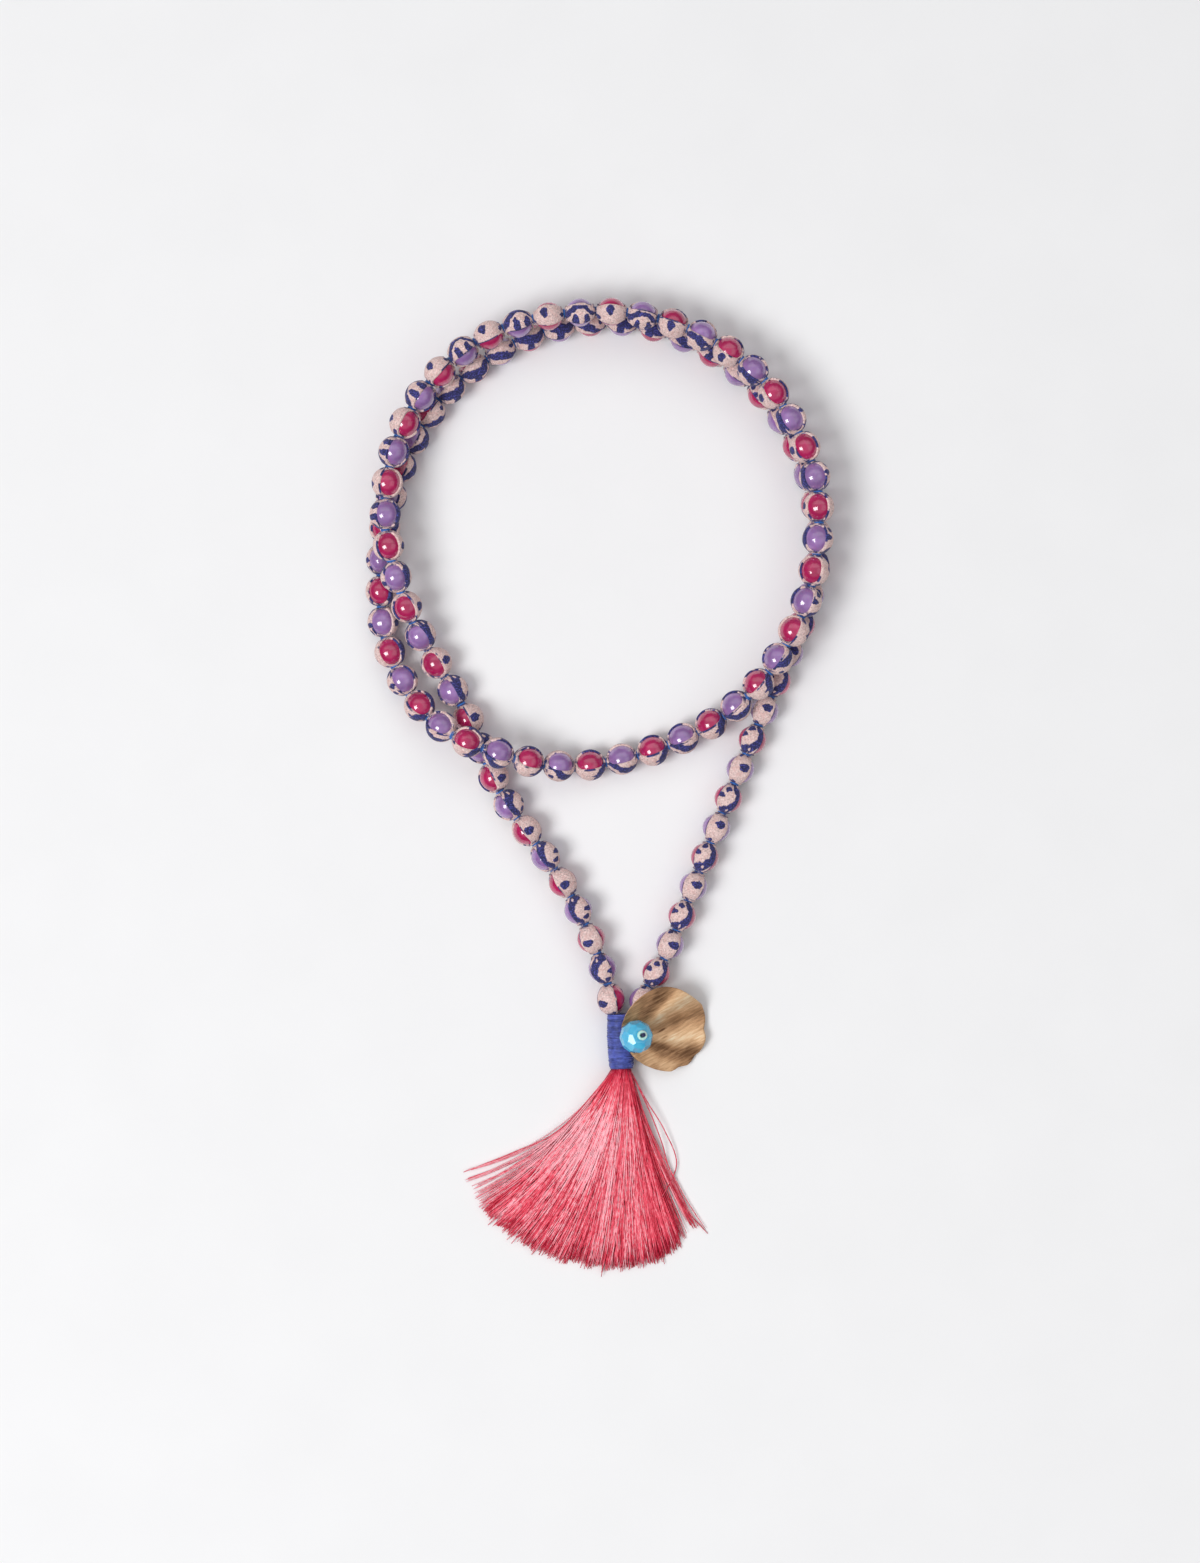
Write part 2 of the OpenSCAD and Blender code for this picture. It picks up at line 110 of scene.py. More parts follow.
# Gap between two parts that are seated in or on each other
SEAT_GAP = 0.12
PETAL_LEN = 22.3
PETAL_T = 0.5
PETAL_LIP = 1.5
PETAL_BASE = BINDING_D * 0.94
PETAL_CLIMB = 0.66
PETAL_FALL = 0.2
PETAL_SAG = 1.45
PETAL_FADE = 0.3
PETAL_HOLE_R = 0.55
FLUTE_H = 1.1
FLUTE_PITCH = 36
FLUTE_TURN = -1
FLUTE_GROWTH = 1.35
# Faceted bead and stopper bead: sizes, lean of their thread and its direction
CHARM_D = 9
CHARM_H = 8
CHARM_LEAN = 20
CHARM_SWING = 24
CHARM_RISE = 1
CHARM_BORE_D = 1.0
STOPPER_D = 2.9
STOPPER_H = 1.9
STOPPER_TILT = -13
PETAL_FLAT = CHARM_D * 0.44
# Angle round the petal's hole, and the reach of its edge there as a share of its length
PETAL_ROWS = [
    (-180, 0.08), (-150, 0.08), (-120, 0.085), (-96, 0.15), (-80, 0.24), (-68, 0.33), (-56, 0.46),
    (-47, 0.58), (-40, 0.68), (-36, 0.705), (-31, 0.73), (-26, 0.82), (-20.5, 0.85), (-16, 0.86),
    (-12, 0.91), (-8, 0.94), (-3, 0.965), (1, 0.97), (6.5, 0.95), (12, 0.985), (16, 1),
    (24.5, 1.01), (32, 0.965), (38, 0.93), (44, 0.895), (50, 0.85), (56, 0.8), (63.5, 0.72),
    (72, 0.61), (79, 0.52), (87, 0.43), (97, 0.34), (110, 0.25), (130, 0.17), (155, 0.11),
    (180, 0.08),
]


# ---- small helpers ----

def lookup(x, table):
    """Straight-line value of a table of (place, value) pairs at x."""
    if x <= table[0][0]:
        return table[0][1]
    for (x0, y0), (x1, y1) in zip(table, table[1:]):
        if x <= x1:
            return y0 + (y1 - y0) * (x - x0) / (x1 - x0)
    return table[-1][1]


def smooth(lo, hi, x):
    """0 below lo, 1 above hi, an even slope between."""
    t = min(1.0, max(0.0, (x - lo) / (hi - lo)))
    return t * t * (3 - 2 * t)


def mix(a, b, t):
    """The value that lies the share t of the way from a to b."""
    return a + (b - a) * t


def drift(x, y, z):
    """Slow unevenness round 0 at a place."""
    return noise.noise(Vector((x, y, z)))


def turn_angles(count):
    """Angles of evenly spaced points round a circle."""
    return [2 * math.pi * k / count for k in range(count)]


def build_mesh(name, points, faces, material, attributes=None, smooth_faces=True):
    """A mesh object from points in millimetres, with one float attribute for each named list."""
    mesh = bpy.data.meshes.new(name)
    mesh.from_pydata([Vector(p) * MM for p in points], [], faces)
    for key, values in (attributes or {}).items():
        layer = mesh.attributes.new(key, "FLOAT", "POINT")
        layer.data.foreach_set("value", values)
    if smooth_faces:
        mesh.polygons.foreach_set("use_smooth", [True] * len(mesh.polygons))
    mesh.validate()
    mesh.update()
    mesh.materials.append(material)
    obj = bpy.data.objects.new(name, mesh)
    bpy.context.scene.collection.objects.link(obj)
    return obj


class Gather:
    """Collects points, faces and attributes of many small forms into one mesh."""

    def __init__(self, *keys):
        self.points = []
        self.faces = []
        self.values = {k: [] for k in keys}

    def add(self, points, faces, **values):
        """Add one form; a value is a number for all its points or a list with one for each."""
        base = len(self.points)
        self.points.extend(points)
        self.faces.extend(tuple(i + base for i in f) for f in faces)
        for k, store in self.values.items():
            v = values[k]
            store.extend(v if isinstance(v, (list, tuple)) else [v] * len(points))

    def make(self, name, material):
        return build_mesh(name, self.points, self.faces, material, self.values)


def ring_faces(rings, count, close_ends=False, closed_path=False):
    """Quads between rings of the same count of points."""
    faces = []
    for r in range(rings if closed_path else rings - 1):
        a, b = r * count, ((r + 1) % rings) * count
        for k in range(count):
            n = (k + 1) % count
            faces.append((a + k, a + n, b + n, b + k))
    if close_ends and not closed_path:
        faces.append(tuple(range(count - 1, -1, -1)))
        faces.append(tuple((rings - 1) * count + k for k in range(count)))
    return faces


def tube_points(path, radius, sides, closed=False):
    """Rings round a path; radius is a number or one for each point."""
    points = []
    n = len(path)
    across = None
    for i, p in enumerate(path):
        before = path[i - 1] if (i > 0 or closed) else path[i]
        after = path[(i + 1) % n] if (i < n - 1 or closed) else path[i]
        along = (after - before).normalized()
        if across is None:
            across = along.orthogonal().normalized()
        across = (across - along * across.dot(along)).normalized()
        other = along.cross(across)
        r = radius[i] if isinstance(radius, (list, tuple)) else radius
        points += [p + (across * math.cos(t) + other * math.sin(t)) * r for t in turn_angles(sides)]
    return points


# ---- the string ----

def curve_point(a, b, c, d, t):
    """Place on the smooth curve from b to c, which a and d lead into and out of."""
    return [0.5 * (2 * q + (r - p) * t + (2 * p - 5 * q + 4 * r - s) * t * t
                   + (3 * q - p - 3 * r + s) * t * t * t) for p, q, r, s in zip(a, b, c, d)]


def string_ties(wrap_d, bead_pitch):
    """Places of the ties along the string, and the turn of every ball's opening."""
    last = len(ROUTE) - 1
    knots = [ROUTE[min(max(i, 0), last)] for i in range(-1, last + 2)]
    way = [curve_point(knots[i], knots[i + 1], knots[i + 2], knots[i + 3], k / ROUTE_STEPS)
           for i in range(last) for k in range(ROUTE_STEPS)]
    way.append(list(ROUTE[last]))
    spots = [Vector((p[0], p[1], max(p[2], ON_FLOOR) * wrap_d)) for p in way]
    lengths = [0.0]
    for a, b in zip(spots, spots[1:]):
        lengths.append(lengths[-1] + (b - a).length)
    total = lengths[-1]
    count = round(total / bead_pitch)
    pitch = total / count
    axes = [list(zip(lengths, [s[k] for s in spots])) for k in range(3)]
    turns = list(zip(lengths, [p[3] for p in way]))
    ties = []
    for j in range(count + 1):
        s = min(max(j * pitch + lookup(j / count, PUSHES), 0), total)
        ties.append(Vector([lookup(s, axis) for axis in axes]))
    return ties, [lookup((j + 0.5) * pitch, turns) for j in range(count)]


def level_axes(along):
    """The upward and the sideways direction across a way."""
    up = (Vector((0, 0, 1)) - along * along.z).normalized()
    return up, along.cross(up)


def ball_axes(a, b, turn):
    """Middle of a ball, the way of the string there, and the way its opening faces."""
    along = (b - a).normalized()
    up, side = level_axes(along)
    t = math.radians(turn)
    opening = up * math.cos(t) + side * math.sin(t)
    return (a + b) / 2, along, opening, along.cross(opening)


# ---- materials ----

# Share of its size over which a mark of dye fades out, and the weight of v against u in a stroke
SOFT_EDGE = 0.12
ACROSS_SHARE = 0.5


class Nodes:
    """Short way to write a material's nodes."""

    def __init__(self, name):
        self.mat = bpy.data.materials.new(name)
        self.mat.use_nodes = True
        self.tree = self.mat.node_tree
        self.shader = self.tree.nodes["Principled BSDF"]

    def node(self, kind, **settings):
        n = self.tree.nodes.new(kind)
        for k, v in settings.items():
            setattr(n, k, v)
        return n

    def link(self, a, b):
        self.tree.links.new(a, b)

    def put(self, socket, value):
        """Link a node's output to a socket, or set the socket's own value."""
        if isinstance(value, bpy.types.NodeSocket):
            self.link(value, socket)
        else:
            socket.default_value = value

    def math(self, operation, a, b=0.0, clamp=False):
        n = self.node("ShaderNodeMath", operation=operation, use_clamp=clamp)
        self.put(n.inputs[0], a)
        self.put(n.inputs[1], b)
        return n.outputs[0]

    def add(self, a, b):
        return self.math("ADD", a, b)

    def take(self, a, b):
        return self.math("SUBTRACT", a, b)

    def times(self, a, b):
        return self.math("MULTIPLY", a, b)

    def sway(self, x, amount):
        """A value from 0 to 1 moved to lie round 0, times amount."""
        return self.times(self.take(x, 0.5), amount)

    def attribute(self, key):
        return self.node("ShaderNodeAttribute", attribute_name=key).outputs["Fac"]

    def place(self):
        return self.node("ShaderNodeTexCoord").outputs["Object"]

    def noise_node(self, scale, detail=2.0, where=None, rough=0.5, **settings):
        """A noise laid on the object's own place, or on another one."""
        n = self.node("ShaderNodeTexNoise", **settings)
        n.inputs["Scale"].default_value = scale
        n.inputs["Detail"].default_value = detail
        n.inputs["Roughness"].default_value = rough
        self.link(self.place() if where is None else where, n.inputs["Vector"])
        return n

    def noise(self, *values):
        return self.noise_node(*values).outputs["Fac"]

    def ramp(self, fac, stops):
        """Colours by a value, from stops of place and linear colour."""
        n = self.node("ShaderNodeValToRGB")
        first, last = n.color_ramp.elements
        first.position, first.color = stops[0]
        last.position, last.color = stops[-1]
        for place, tint in stops[1:-1]:
            n.color_ramp.elements.new(place).color = tint
        self.link(fac, n.inputs["Fac"])
        return n.outputs["Color"]

    def blend(self, fac, a, b, mode="MIX"):
        n = self.node("ShaderNodeMix", data_type="RGBA", blend_type=mode)
        # sockets 0, 6 and 7 are the factor and the two colours
        for socket, value in ((0, fac), (6, a), (7, b)):
            self.put(n.inputs[socket], value)
        return n.outputs[2]

    def bump(self, height, strength, distance, onto=None):
        """Relief from a height, with its distance in millimetres."""
        n = self.node("ShaderNodeBump")
        n.inputs["Strength"].default_value = strength
        n.inputs["Distance"].default_value = distance * MM
        self.link(height, n.inputs["Height"])
        if onto is not None:
            self.link(onto, n.inputs["Normal"])
        return n.outputs["Normal"]

    def step(self, x, lo, hi):
        """0 below lo, 1 above hi."""
        n = self.node("ShaderNodeMapRange", interpolation_type="SMOOTHSTEP")
        self.put(n.inputs["Value"], x)
        n.inputs["From Min"].default_value = lo
        n.inputs["From Max"].default_value = hi
        return n.outputs["Result"]

    def within(self, far, limit):
        """1 nearer than a limit, 0 beyond it, with a soft edge."""
        return self.step(far, limit * (1 + SOFT_EDGE), limit * (1 - SOFT_EDGE))

    def dab(self, u, v, cu, cv, ru, rv, taper=0.0):
        """A dab of dye: 1 inside the ellipse, 0 outside; taper draws it to a point along v."""
        a = self.math("DIVIDE", self.take(u, cu), ru)
        b = self.math("DIVIDE", self.take(v, cv), rv)
        if taper:
            a = self.math("DIVIDE", a, self.add(self.times(b, -taper), 1.0))
        return self.within(self.add(self.times(a, a), self.times(b, b)), 1)

    def stroke(self, u, v, start, end, width):
        """A straight stroke of dye between two points."""
        du, dv = end[0] - start[0], (end[1] - start[1]) * ACROSS_SHARE
        along2 = du * du + dv * dv
        pu = self.take(u, start[0])
        pv = self.times(self.take(v, start[1]), ACROSS_SHARE)
        t = self.math("ADD", self.times(pu, du / along2), self.times(pv, dv / along2), clamp=True)
        au = self.take(pu, self.times(t, du))
        av = self.take(pv, self.times(t, dv))
        far = self.math("SQRT", self.add(self.times(au, au), self.times(av, av)))
        return self.within(far, width)

    def motif(self, u, v, dabs, bands):
        """The dye of one motif of the print."""
        masks = [self.dab(u, v, *dab) for dab in dabs]
        for band in bands:
            masks += [self.stroke(u, v, a[:2], b[:2], b[2]) for a, b in zip(band, band[1:])]
        dye = masks[0]
        for mask in masks[1:]:
            dye = self.math("MAXIMUM", dye, mask)
        return dye

    def done(self, **sockets):
        """Put the values on the shader's own sockets and give the material."""
        for key, value in sockets.items():
            self.put(self.shader.inputs[key.replace("_", " ")], value)
        return self.mat


def colour(rgb):
    """A picked sRGB colour as the shader's linear one."""
    linear = [c / 12.92 if c <= 0.04045 else ((c + 0.055) / 1.055) ** 2.4 for c in rgb]
    return (*linear, 1.0)


def shade(rgb, gain, lift=0.0):
    """A colour made darker or lighter."""
    return [min(1, c * gain + lift) for c in rgb]


def resin_material(name, deep, light):
    """Polished tinted resin with soft clouds in its depth."""
    n = Nodes(name)
    cloud = n.noise(240, 3)
    tint = n.ramp(cloud, [(0.35, colour(deep)), (0.68, colour(light))])
    fine = n.noise(700, 2)
    return n.done(Base_Color=tint, Roughness=0.12, IOR=1.52, Coat_Weight=1.0, Coat_Roughness=0.03,
                  Coat_IOR=1.55, Subsurface_Weight=0.35, Subsurface_Radius=(1.0, 0.4, 0.7),
                  Subsurface_Scale=0.001, Normal=n.bump(fine, 0.04, 0.05))


# Motifs of the print, in shares along a ball (0 to 1) and across the ribbon (-1 to 1).
# A dab is its middle, its half sizes and its taper. A band is a row of points, each but the
# first with the half width of the stretch that ends there.
SINGLE, BENT, PATCH, SLANT, DROPS, SWEEP = range(6)
MOTIFS = [
    # one fat dab, with a small one at each end
    ([(0.42, -0.3, 0.125, 0.46, 0.3), (0.04, 0.6, 0.09, 0.34), (0.97, 0.2, 0.06, 0.34)], []),
    # two small drops with a broad band bent round them
    ([(0.18, 0.35, 0.08, 0.36, -0.3), (0.42, 0.72, 0.085, 0.34, -0.3)],
     [[(0.02, -0.2), (0.26, -0.72, 0.12), (0.54, -0.74, 0.15), (0.8, -0.3, 0.17),
       (0.9, 0.6, 0.13)]]),
    # a ragged patch that runs down one end
    ([(0.4, 0.3, 0.09, 0.12), (0.9, -0.4, 0.08, 0.25)],
     [[(0.0, 1.2), (0.12, 0.7, 0.13), (0.22, 0.2, 0.16), (0.4, -0.5, 0.13)]]),
    # a broad slanting band with a small dash beside it
    ([(0.83, -0.1, 0.07, 0.26)],
     [[(-0.02, -0.4), (0.24, 0.1, 0.12), (0.5, 0.35, 0.17), (0.84, 1.1, 0.12)]]),
    # two long drops cut by the opening, in a band that runs round the far side
    ([(0.4, 0.56, 0.11, 0.66, -0.12), (0.76, 0.6, 0.1, 0.66, -0.12)],
     [[(0.0, 0.5), (0.14, -0.2, 0.14), (0.4, -0.62, 0.12), (0.74, -0.66, 0.08), (1.0, 0.2, 0.08)]]),
    # one sweep as wide as a third of the ball, with a short arm
    ([], [[(-0.05, -0.75), (0.34, -0.1, 0.16), (0.74, 0.2, 0.2), (1.05, -0.5, 0.14)],
          [(0.5, 0.2), (0.42, 1.0, 0.12)]]),
]
# Left bare where the bent band ends
BARE_ISLAND = (0.84, -0.2, 0.05, 0.13)


def ribbon_material(pink, navy):
    """Crepe ribbon in pale pink with a charted repeat of navy dabs and bands."""
    n = Nodes("printed ribbon")
    place = n.place()
    along, across = n.attribute("along"), n.attribute("across")
    chart, seed = n.attribute("chart"), n.attribute("seed")
    # An uneven hand, and a shift that each ball has of its own
    hand = n.node("ShaderNodeSeparateXYZ")
    n.link(n.noise_node(850, 3, place).outputs["Color"], hand.inputs[0])
    u = n.add(n.add(along, n.sway(hand.outputs[0], 0.15)), n.sway(seed, 0.1))
    v = n.add(n.add(across, n.sway(hand.outputs[1], 0.36)), n.sway(seed, -0.24))
    dye = 0.0
    for k, (dabs, bands) in enumerate(MOTIFS):
        mask = n.motif(u, v, dabs, bands)
        if k == BENT:
            mask = n.times(mask, n.take(1.0, n.dab(u, v, *BARE_ISLAND)))
        chosen = n.math("LESS_THAN", n.math("ABSOLUTE", n.take(chart, float(k))), 0.5)
        dye = n.add(dye, n.times(chosen, mask))
    # Navy along the cut edges, partly print and partly a painted shadow on the turned-in rim, and
    # dye at the gathered ends, broken up by a coarse noise
    edge = n.math("ABSOLUTE", across)
    # painted shadow along the edge of the opening, together with some navy print
    rim = n.times(n.step(edge, 0.8, 0.88), n.step(edge, 1.03, 1.0))
    rim = n.times(rim, n.step(n.noise(230, 2, place), 0.5, 0.55))
    tip = n.math("ABSOLUTE", n.take(along, 0.5))
    ends = n.times(n.step(tip, 0.37, 0.45), n.step(n.noise(620, 3, place), 0.5, 0.55))
    dye = n.math("MAXIMUM", dye, n.math("MAXIMUM", rim, ends), clamp=True)
    # Crepe: fine speckle in the ground and the dye, and a finer grain in the height
    grain = n.noise(2300, 3, place, 0.6)
    ground = n.ramp(grain, [(0.34, colour(shade(pink, 0.8))), (0.47, colour(pink)),
                            (0.54, colour(pink)), (0.66, colour(shade(pink, 1.13)))])
    flush = n.step(n.noise(1100, 2, place), 0.5, 0.62)
    ground = n.blend(n.times(flush, 0.4), ground, colour((0.82, 0.62, 0.6)))
    blue = n.ramp(grain, [(0.35, colour(shade(navy, 0.7))), (0.5, colour(navy)),
                          (0.68, colour(shade(navy, 1.7, 0.03)))])
    relief = n.bump(n.noise(2300, 4, place, 0.7), 0.7, 0.16)
    folds = n.bump(n.noise(420, 2, place), 0.4, 0.4, relief)
    return n.done(Base_Color=n.blend(dye, ground, blue), Roughness=0.86, Sheen_Weight=0.15,
                  Sheen_Roughness=0.5, Normal=folds)


def thread_material(name, dark, light, scale=900, rough=0.55, sheen=0.3):
    """Twisted thread: tone from noise and from each strand's own number."""
    n = Nodes(name)
    tone = n.add(n.times(n.noise(scale, 3), 0.7), n.times(n.attribute("tone"), 0.45))
    tint = n.ramp(tone, [(0.2, colour(dark)), (0.8, colour(light))])
    fibre = n.bump(n.noise(scale * 3.5, 2), 0.35, 0.06)
    return n.done(Base_Color=tint, Roughness=rough, Sheen_Weight=sheen, Sheen_Roughness=0.4,
                  Normal=fibre)


def silk_material(deep, coral, light):
    """Loose silk threads, each with a tone of its own, a painted glint that comes and goes along
    it, and painted shade on the threads that lie deep in the fringe.
    """
    n = Nodes("coral silk")
    # painted glints: a noise in the colour, with a phase of its own for each thread
    painted_glints = n.noise_node(800, 1.5, noise_dimensions="4D")
    n.link(n.times(n.attribute("depth"), 0.06), painted_glints.inputs["W"])
    tone = n.add(n.attribute("tone"), n.sway(painted_glints.outputs["Fac"], 1.5))
    tint = n.ramp(tone, [(0.05, colour(deep)), (0.5, colour(coral)), (0.98, colour(light))])
    # painted shade: the lower a thread lies in the fringe, the darker its colour
    painted_depth_shade = n.ramp(n.attribute("depth"), [(0.0, (0.9, 0.45, 0.55, 1)), (0.7, (1, 1, 1, 1))])
    return n.done(Base_Color=n.blend(1.0, tint, painted_depth_shade, "MULTIPLY"), Roughness=0.42,
                  Specular_IOR_Level=0.35, Normal=n.bump(n.noise(1800, 2), 0.2, 0.03))


def brass_material():
    """Aged brass: slanting scratches and clouds, and a tone with painted highlights on the crests
    and painted shade and patina in the valleys.
    """
    n = Nodes("brushed brass")
    place = n.place()
    slant = n.node("ShaderNodeMapping", vector_type="TEXTURE")
    # the lean of the scratches, and the size of one in metres
    slant.inputs["Rotation"].default_value = (0, 0, math.radians(28))
    slant.inputs["Scale"].default_value = (0.004, 0.00055, 0.003)
    n.link(place, slant.inputs["Vector"])
    scratch = n.noise(1.0, 4, slant.outputs["Vector"], 0.62)
    wear = n.add(n.sway(scratch, 1.1), n.sway(n.noise(170, 3, place), 0.5))
    tint = n.ramp(n.add(n.attribute("tone"), wear),
                  [(0.05, colour((0.47, 0.33, 0.22))), (0.45, colour((0.79, 0.61, 0.45))),
                   (0.75, colour((0.93, 0.77, 0.6))), (1.0, colour((0.99, 0.91, 0.78)))])
    rough = n.add(n.times(scratch, 0.25), 0.34)
    return n.done(Base_Color=tint, Metallic=0.62, Roughness=rough,
                  Normal=n.bump(scratch, 0.5, 0.08))


def glass_material(name, base, light, rough=0.06):
    """Opaque coloured glass with a faint cloud in it."""
    n = Nodes(name)
    tint = n.ramp(n.noise(280, 3), [(0.3, colour(base)), (0.75, colour(light))])
    return n.done(Base_Color=tint, Roughness=rough, IOR=1.52, Coat_Weight=0.5,
                  Coat_Roughness=0.03, Subsurface_Weight=0.2,
                  Subsurface_Radius=(0.4, 0.8, 1.0), Subsurface_Scale=0.001,
                  Normal=n.bump(n.noise(900, 2), 0.05, 0.05))


def floor_material(tint):
    """Matt white paper with a faint cloud."""
    n = Nodes("pale paper floor")
    paper = n.ramp(n.noise(35, 4), [(0.3, colour(shade(tint, 0.992))), (0.7, colour(tint))])
    return n.done(Base_Color=paper, Roughness=0.9, Normal=n.bump(n.noise(800, 3), 0.05, 0.05))


# ---- settings that a user would change ----

def colour_setting(name, description, default):
    """A colour for the panel."""
    return bpy.props.FloatVectorProperty(name=name, description=description, subtype="COLOR",
                                         size=3, min=0, max=1, default=default)


class NecklaceString(bpy.types.PropertyGroup):
    bead_d: bpy.props.FloatProperty(name="Ball", description="Diameter of a resin ball, mm",
                                    default=8.0, min=6, max=10)
    wrap_d: bpy.props.FloatProperty(name="Wrapped ball", description="Diameter over the ribbon, mm",
                                    default=9.0, min=7, max=11)
    tie_gap: bpy.props.FloatProperty(name="Tie gap", description="Gap between two balls, mm",
                                     default=1.0, min=0.6, max=2)
    magenta: colour_setting("Magenta", "Colour of every second ball", (0.66, 0.1, 0.33))
    lilac: colour_setting("Lilac", "Colour of the other balls", (0.55, 0.41, 0.63))
    pink: colour_setting("Ribbon", "Ground colour of the ribbon", (0.88, 0.77, 0.755))
    navy: colour_setting("Print", "Colour of the print", (0.17, 0.17, 0.38))


class NecklaceTassel(bpy.types.PropertyGroup):
    strands: bpy.props.IntProperty(name="Threads", description="Loose threads in the fringe",
                                   default=2100, min=200, max=6000)
    strand_d: bpy.props.FloatProperty(name="Thread", description="Thickness of a thread, mm",
                                      default=0.4, min=0.1, max=0.6)
    coral: colour_setting("Fringe", "Colour of the fringe", (0.95, 0.36, 0.45))
    binding: colour_setting("Binding", "Colour of the binding", (0.21, 0.27, 0.67))
    turns: bpy.props.IntProperty(name="Turns", description="Turns of thread along the binding",
                                 default=31, min=8, max=40)


class NecklaceStudio(bpy.types.PropertyGroup):
    floor: colour_setting("Floor", "Colour of the floor", (0.95, 0.95, 0.955))
    key: bpy.props.FloatProperty(name="Key light", description="Power of the main softbox",
                                 default=38.0, min=0, unit="POWER")
    fill: bpy.props.FloatProperty(name="Fill light", description="Power of the fill softbox",
                                  default=3.0, min=0, unit="POWER")
    sky: bpy.props.FloatProperty(name="Room light", description="Strength of the even room light",
                                 default=1.07, min=0)
    height: bpy.props.FloatProperty(name="Camera height", description="Height above the floor",
                                    default=1.15, min=0.3, unit="LENGTH")
    lens: bpy.props.FloatProperty(name="Lens", description="Focal length", default=92.6, min=20,
                                  unit="CAMERA")


# Extra lean of the openings on a few balls: ball number, degrees
LEANS = [(0, 16), (2, 0), (19, 0), (21, 8), (23, 14), (27, 13), (30, 0)]


def string_frames(context):
    """The ties, and the axes of every ball with its opening as the looks show it."""
    s = context.scene.necklace_string
    ties, turns = string_ties(s.wrap_d, s.bead_d + s.tie_gap)
    turns = [t + lookup(j, LEANS) for j, t in enumerate(turns)]
    return ties, [ball_axes(a, b, t) for a, b, t in zip(ties, ties[1:], turns)]


# ---- ribbon ----

# Opening: its reach along the ball and its half width, as shares of the radius, and the largest
# sine of its half angle
OPENING_REACH = 0.965
OPENING_WIDTH = 0.745
OPENING_SINE = 0.72
# Where the sphere of a wrap begins, in degrees from its end, and its rows from there to the other
WRAP_START = 28
WRAP_ROWS = 20
# Radius of the gathered end, and its profile: distance from the tie, share of that radius
GATHER_R = 1.0
GATHER = [(0, 1), (0.14, 1.12), (0.3, 1.5)]
# Gap between a ball and its ribbon
RIBBON_CLEAR = 0.1
# Pleats round a gathered end
PLEATS = 8
# Columns of points between the two rims of a lobe
INNER_COLUMNS = 9
# Degrees from the middle of a lobe that count as 1 across it
ACROSS_UNIT = 46
# Upper end of a random phase, about a full turn
PHASE = 6.28
# Runs of balls with motifs of their own: lobe, first and last ball, and the motifs in turn
RUNS = [(1, 43, 56, (PATCH, SLANT)), (0, 17, 29, (SINGLE, DROPS)),
        (0, 63, 76, (SLANT, SWEEP, SWEEP))]
# Ball number after which the repeat of the print on the first lobe is shifted by one
SHIFT_FROM = 45


def opening_half_angle(z, bead_r):
    """Half angle of the opening at a place along the ball: an oval that shuts short of the ends."""
    reach = bead_r * OPENING_REACH
    if abs(z) >= reach:
        return 0.0
    width = bead_r * OPENING_WIDTH * math.sqrt(1 - (z / reach) ** 2)
    local = math.sqrt(max(bead_r ** 2 - z * z, 0.01))
    return math.asin(min(OPENING_SINE, width / local))


def wrap_stations(wrap_r, half):
    """Places and radii along one wrap, from tie to tie."""
    start = math.radians(WRAP_START)
    body = []
    for i in range(WRAP_ROWS + 1):
        a = start + (math.pi - 2 * start) * i / WRAP_ROWS
        body.append((-wrap_r * math.cos(a), wrap_r * math.sin(a)))
    end = [(half - d, GATHER_R * share) for d, share in GATHER]
    return [(-z, r) for z, r in end] + body + end[::-1]


def chart_for(j, lobe):
    """Which motif of the print a lobe of ribbon shows."""
    for run_lobe, first, last, motifs in RUNS:
        if lobe == run_lobe and first <= j <= last:
            return motifs[j % len(motifs)]
    shift = 1 if lobe == 0 and j > SHIFT_FROM else 0
    return (SINGLE, BENT)[(j + shift) % 2]


def add_wrap(out, j, axes, half, bead_r, wrap_r, rng):
    """One closed skin of ribbon: two lobes, with an opening between them on two sides."""
    middle, along, opening, other = axes
    seed = rng.random()
    pleat = rng.uniform(0, PHASE)
    # angle past the edge of the opening, and radius there: the rim is turned in onto the ball
    rims = [(-0.035, bead_r * 0.975), (-0.012, bead_r + 0.16), (0.01, wrap_r - 0.1),
            (0.05, wrap_r)]
    stations = wrap_stations(wrap_r, half)
    points, us, vs, charts = [], [], [], []
    for z, r in stations:
        gap = opening_half_angle(z, bead_r + RIBBON_CLEAR)
        gather = smooth(3.0, 4.3, abs(z))
        lo, hi = gap, math.pi - gap
        a0, a1 = lo + rims[-1][0], hi - rims[-1][0]
        columns = [(lo + da, ra) for da, ra in rims]
        columns += [(a0 + (a1 - a0) * k / (INNER_COLUMNS + 1), wrap_r)
                    for k in range(1, INNER_COLUMNS + 1)]
        columns += [(hi - da, ra) for da, ra in reversed(rims)]
        for lobe in (0, 1):
            for a, ra in columns:
                turn = a + lobe * math.pi
                # the rim sinks radially to the ball, and only the outer skin follows r
                local = r if gap <= 0 else max(r - (wrap_r - ra), 0.3)
                local *= 1 + 0.07 * gather * math.sin(PLEATS * turn + pleat)
                local -= 0.05 * (drift(j * 3.1, turn * 2, z * 0.6) + 1) * (1 - gather)
                way = opening * math.cos(turn) + other * math.sin(turn)
                points.append(middle + along * z + way * local)
                us.append(0.5 + z / (2 * half))
                vs.append((a - math.pi / 2) / math.radians(ACROSS_UNIT))
                charts.append(float(chart_for(j, lobe)))
    count = 2 * len(columns)
    out.add(points, ring_faces(len(stations), count, close_ends=True),
            along=us, across=vs, chart=charts, seed=seed)


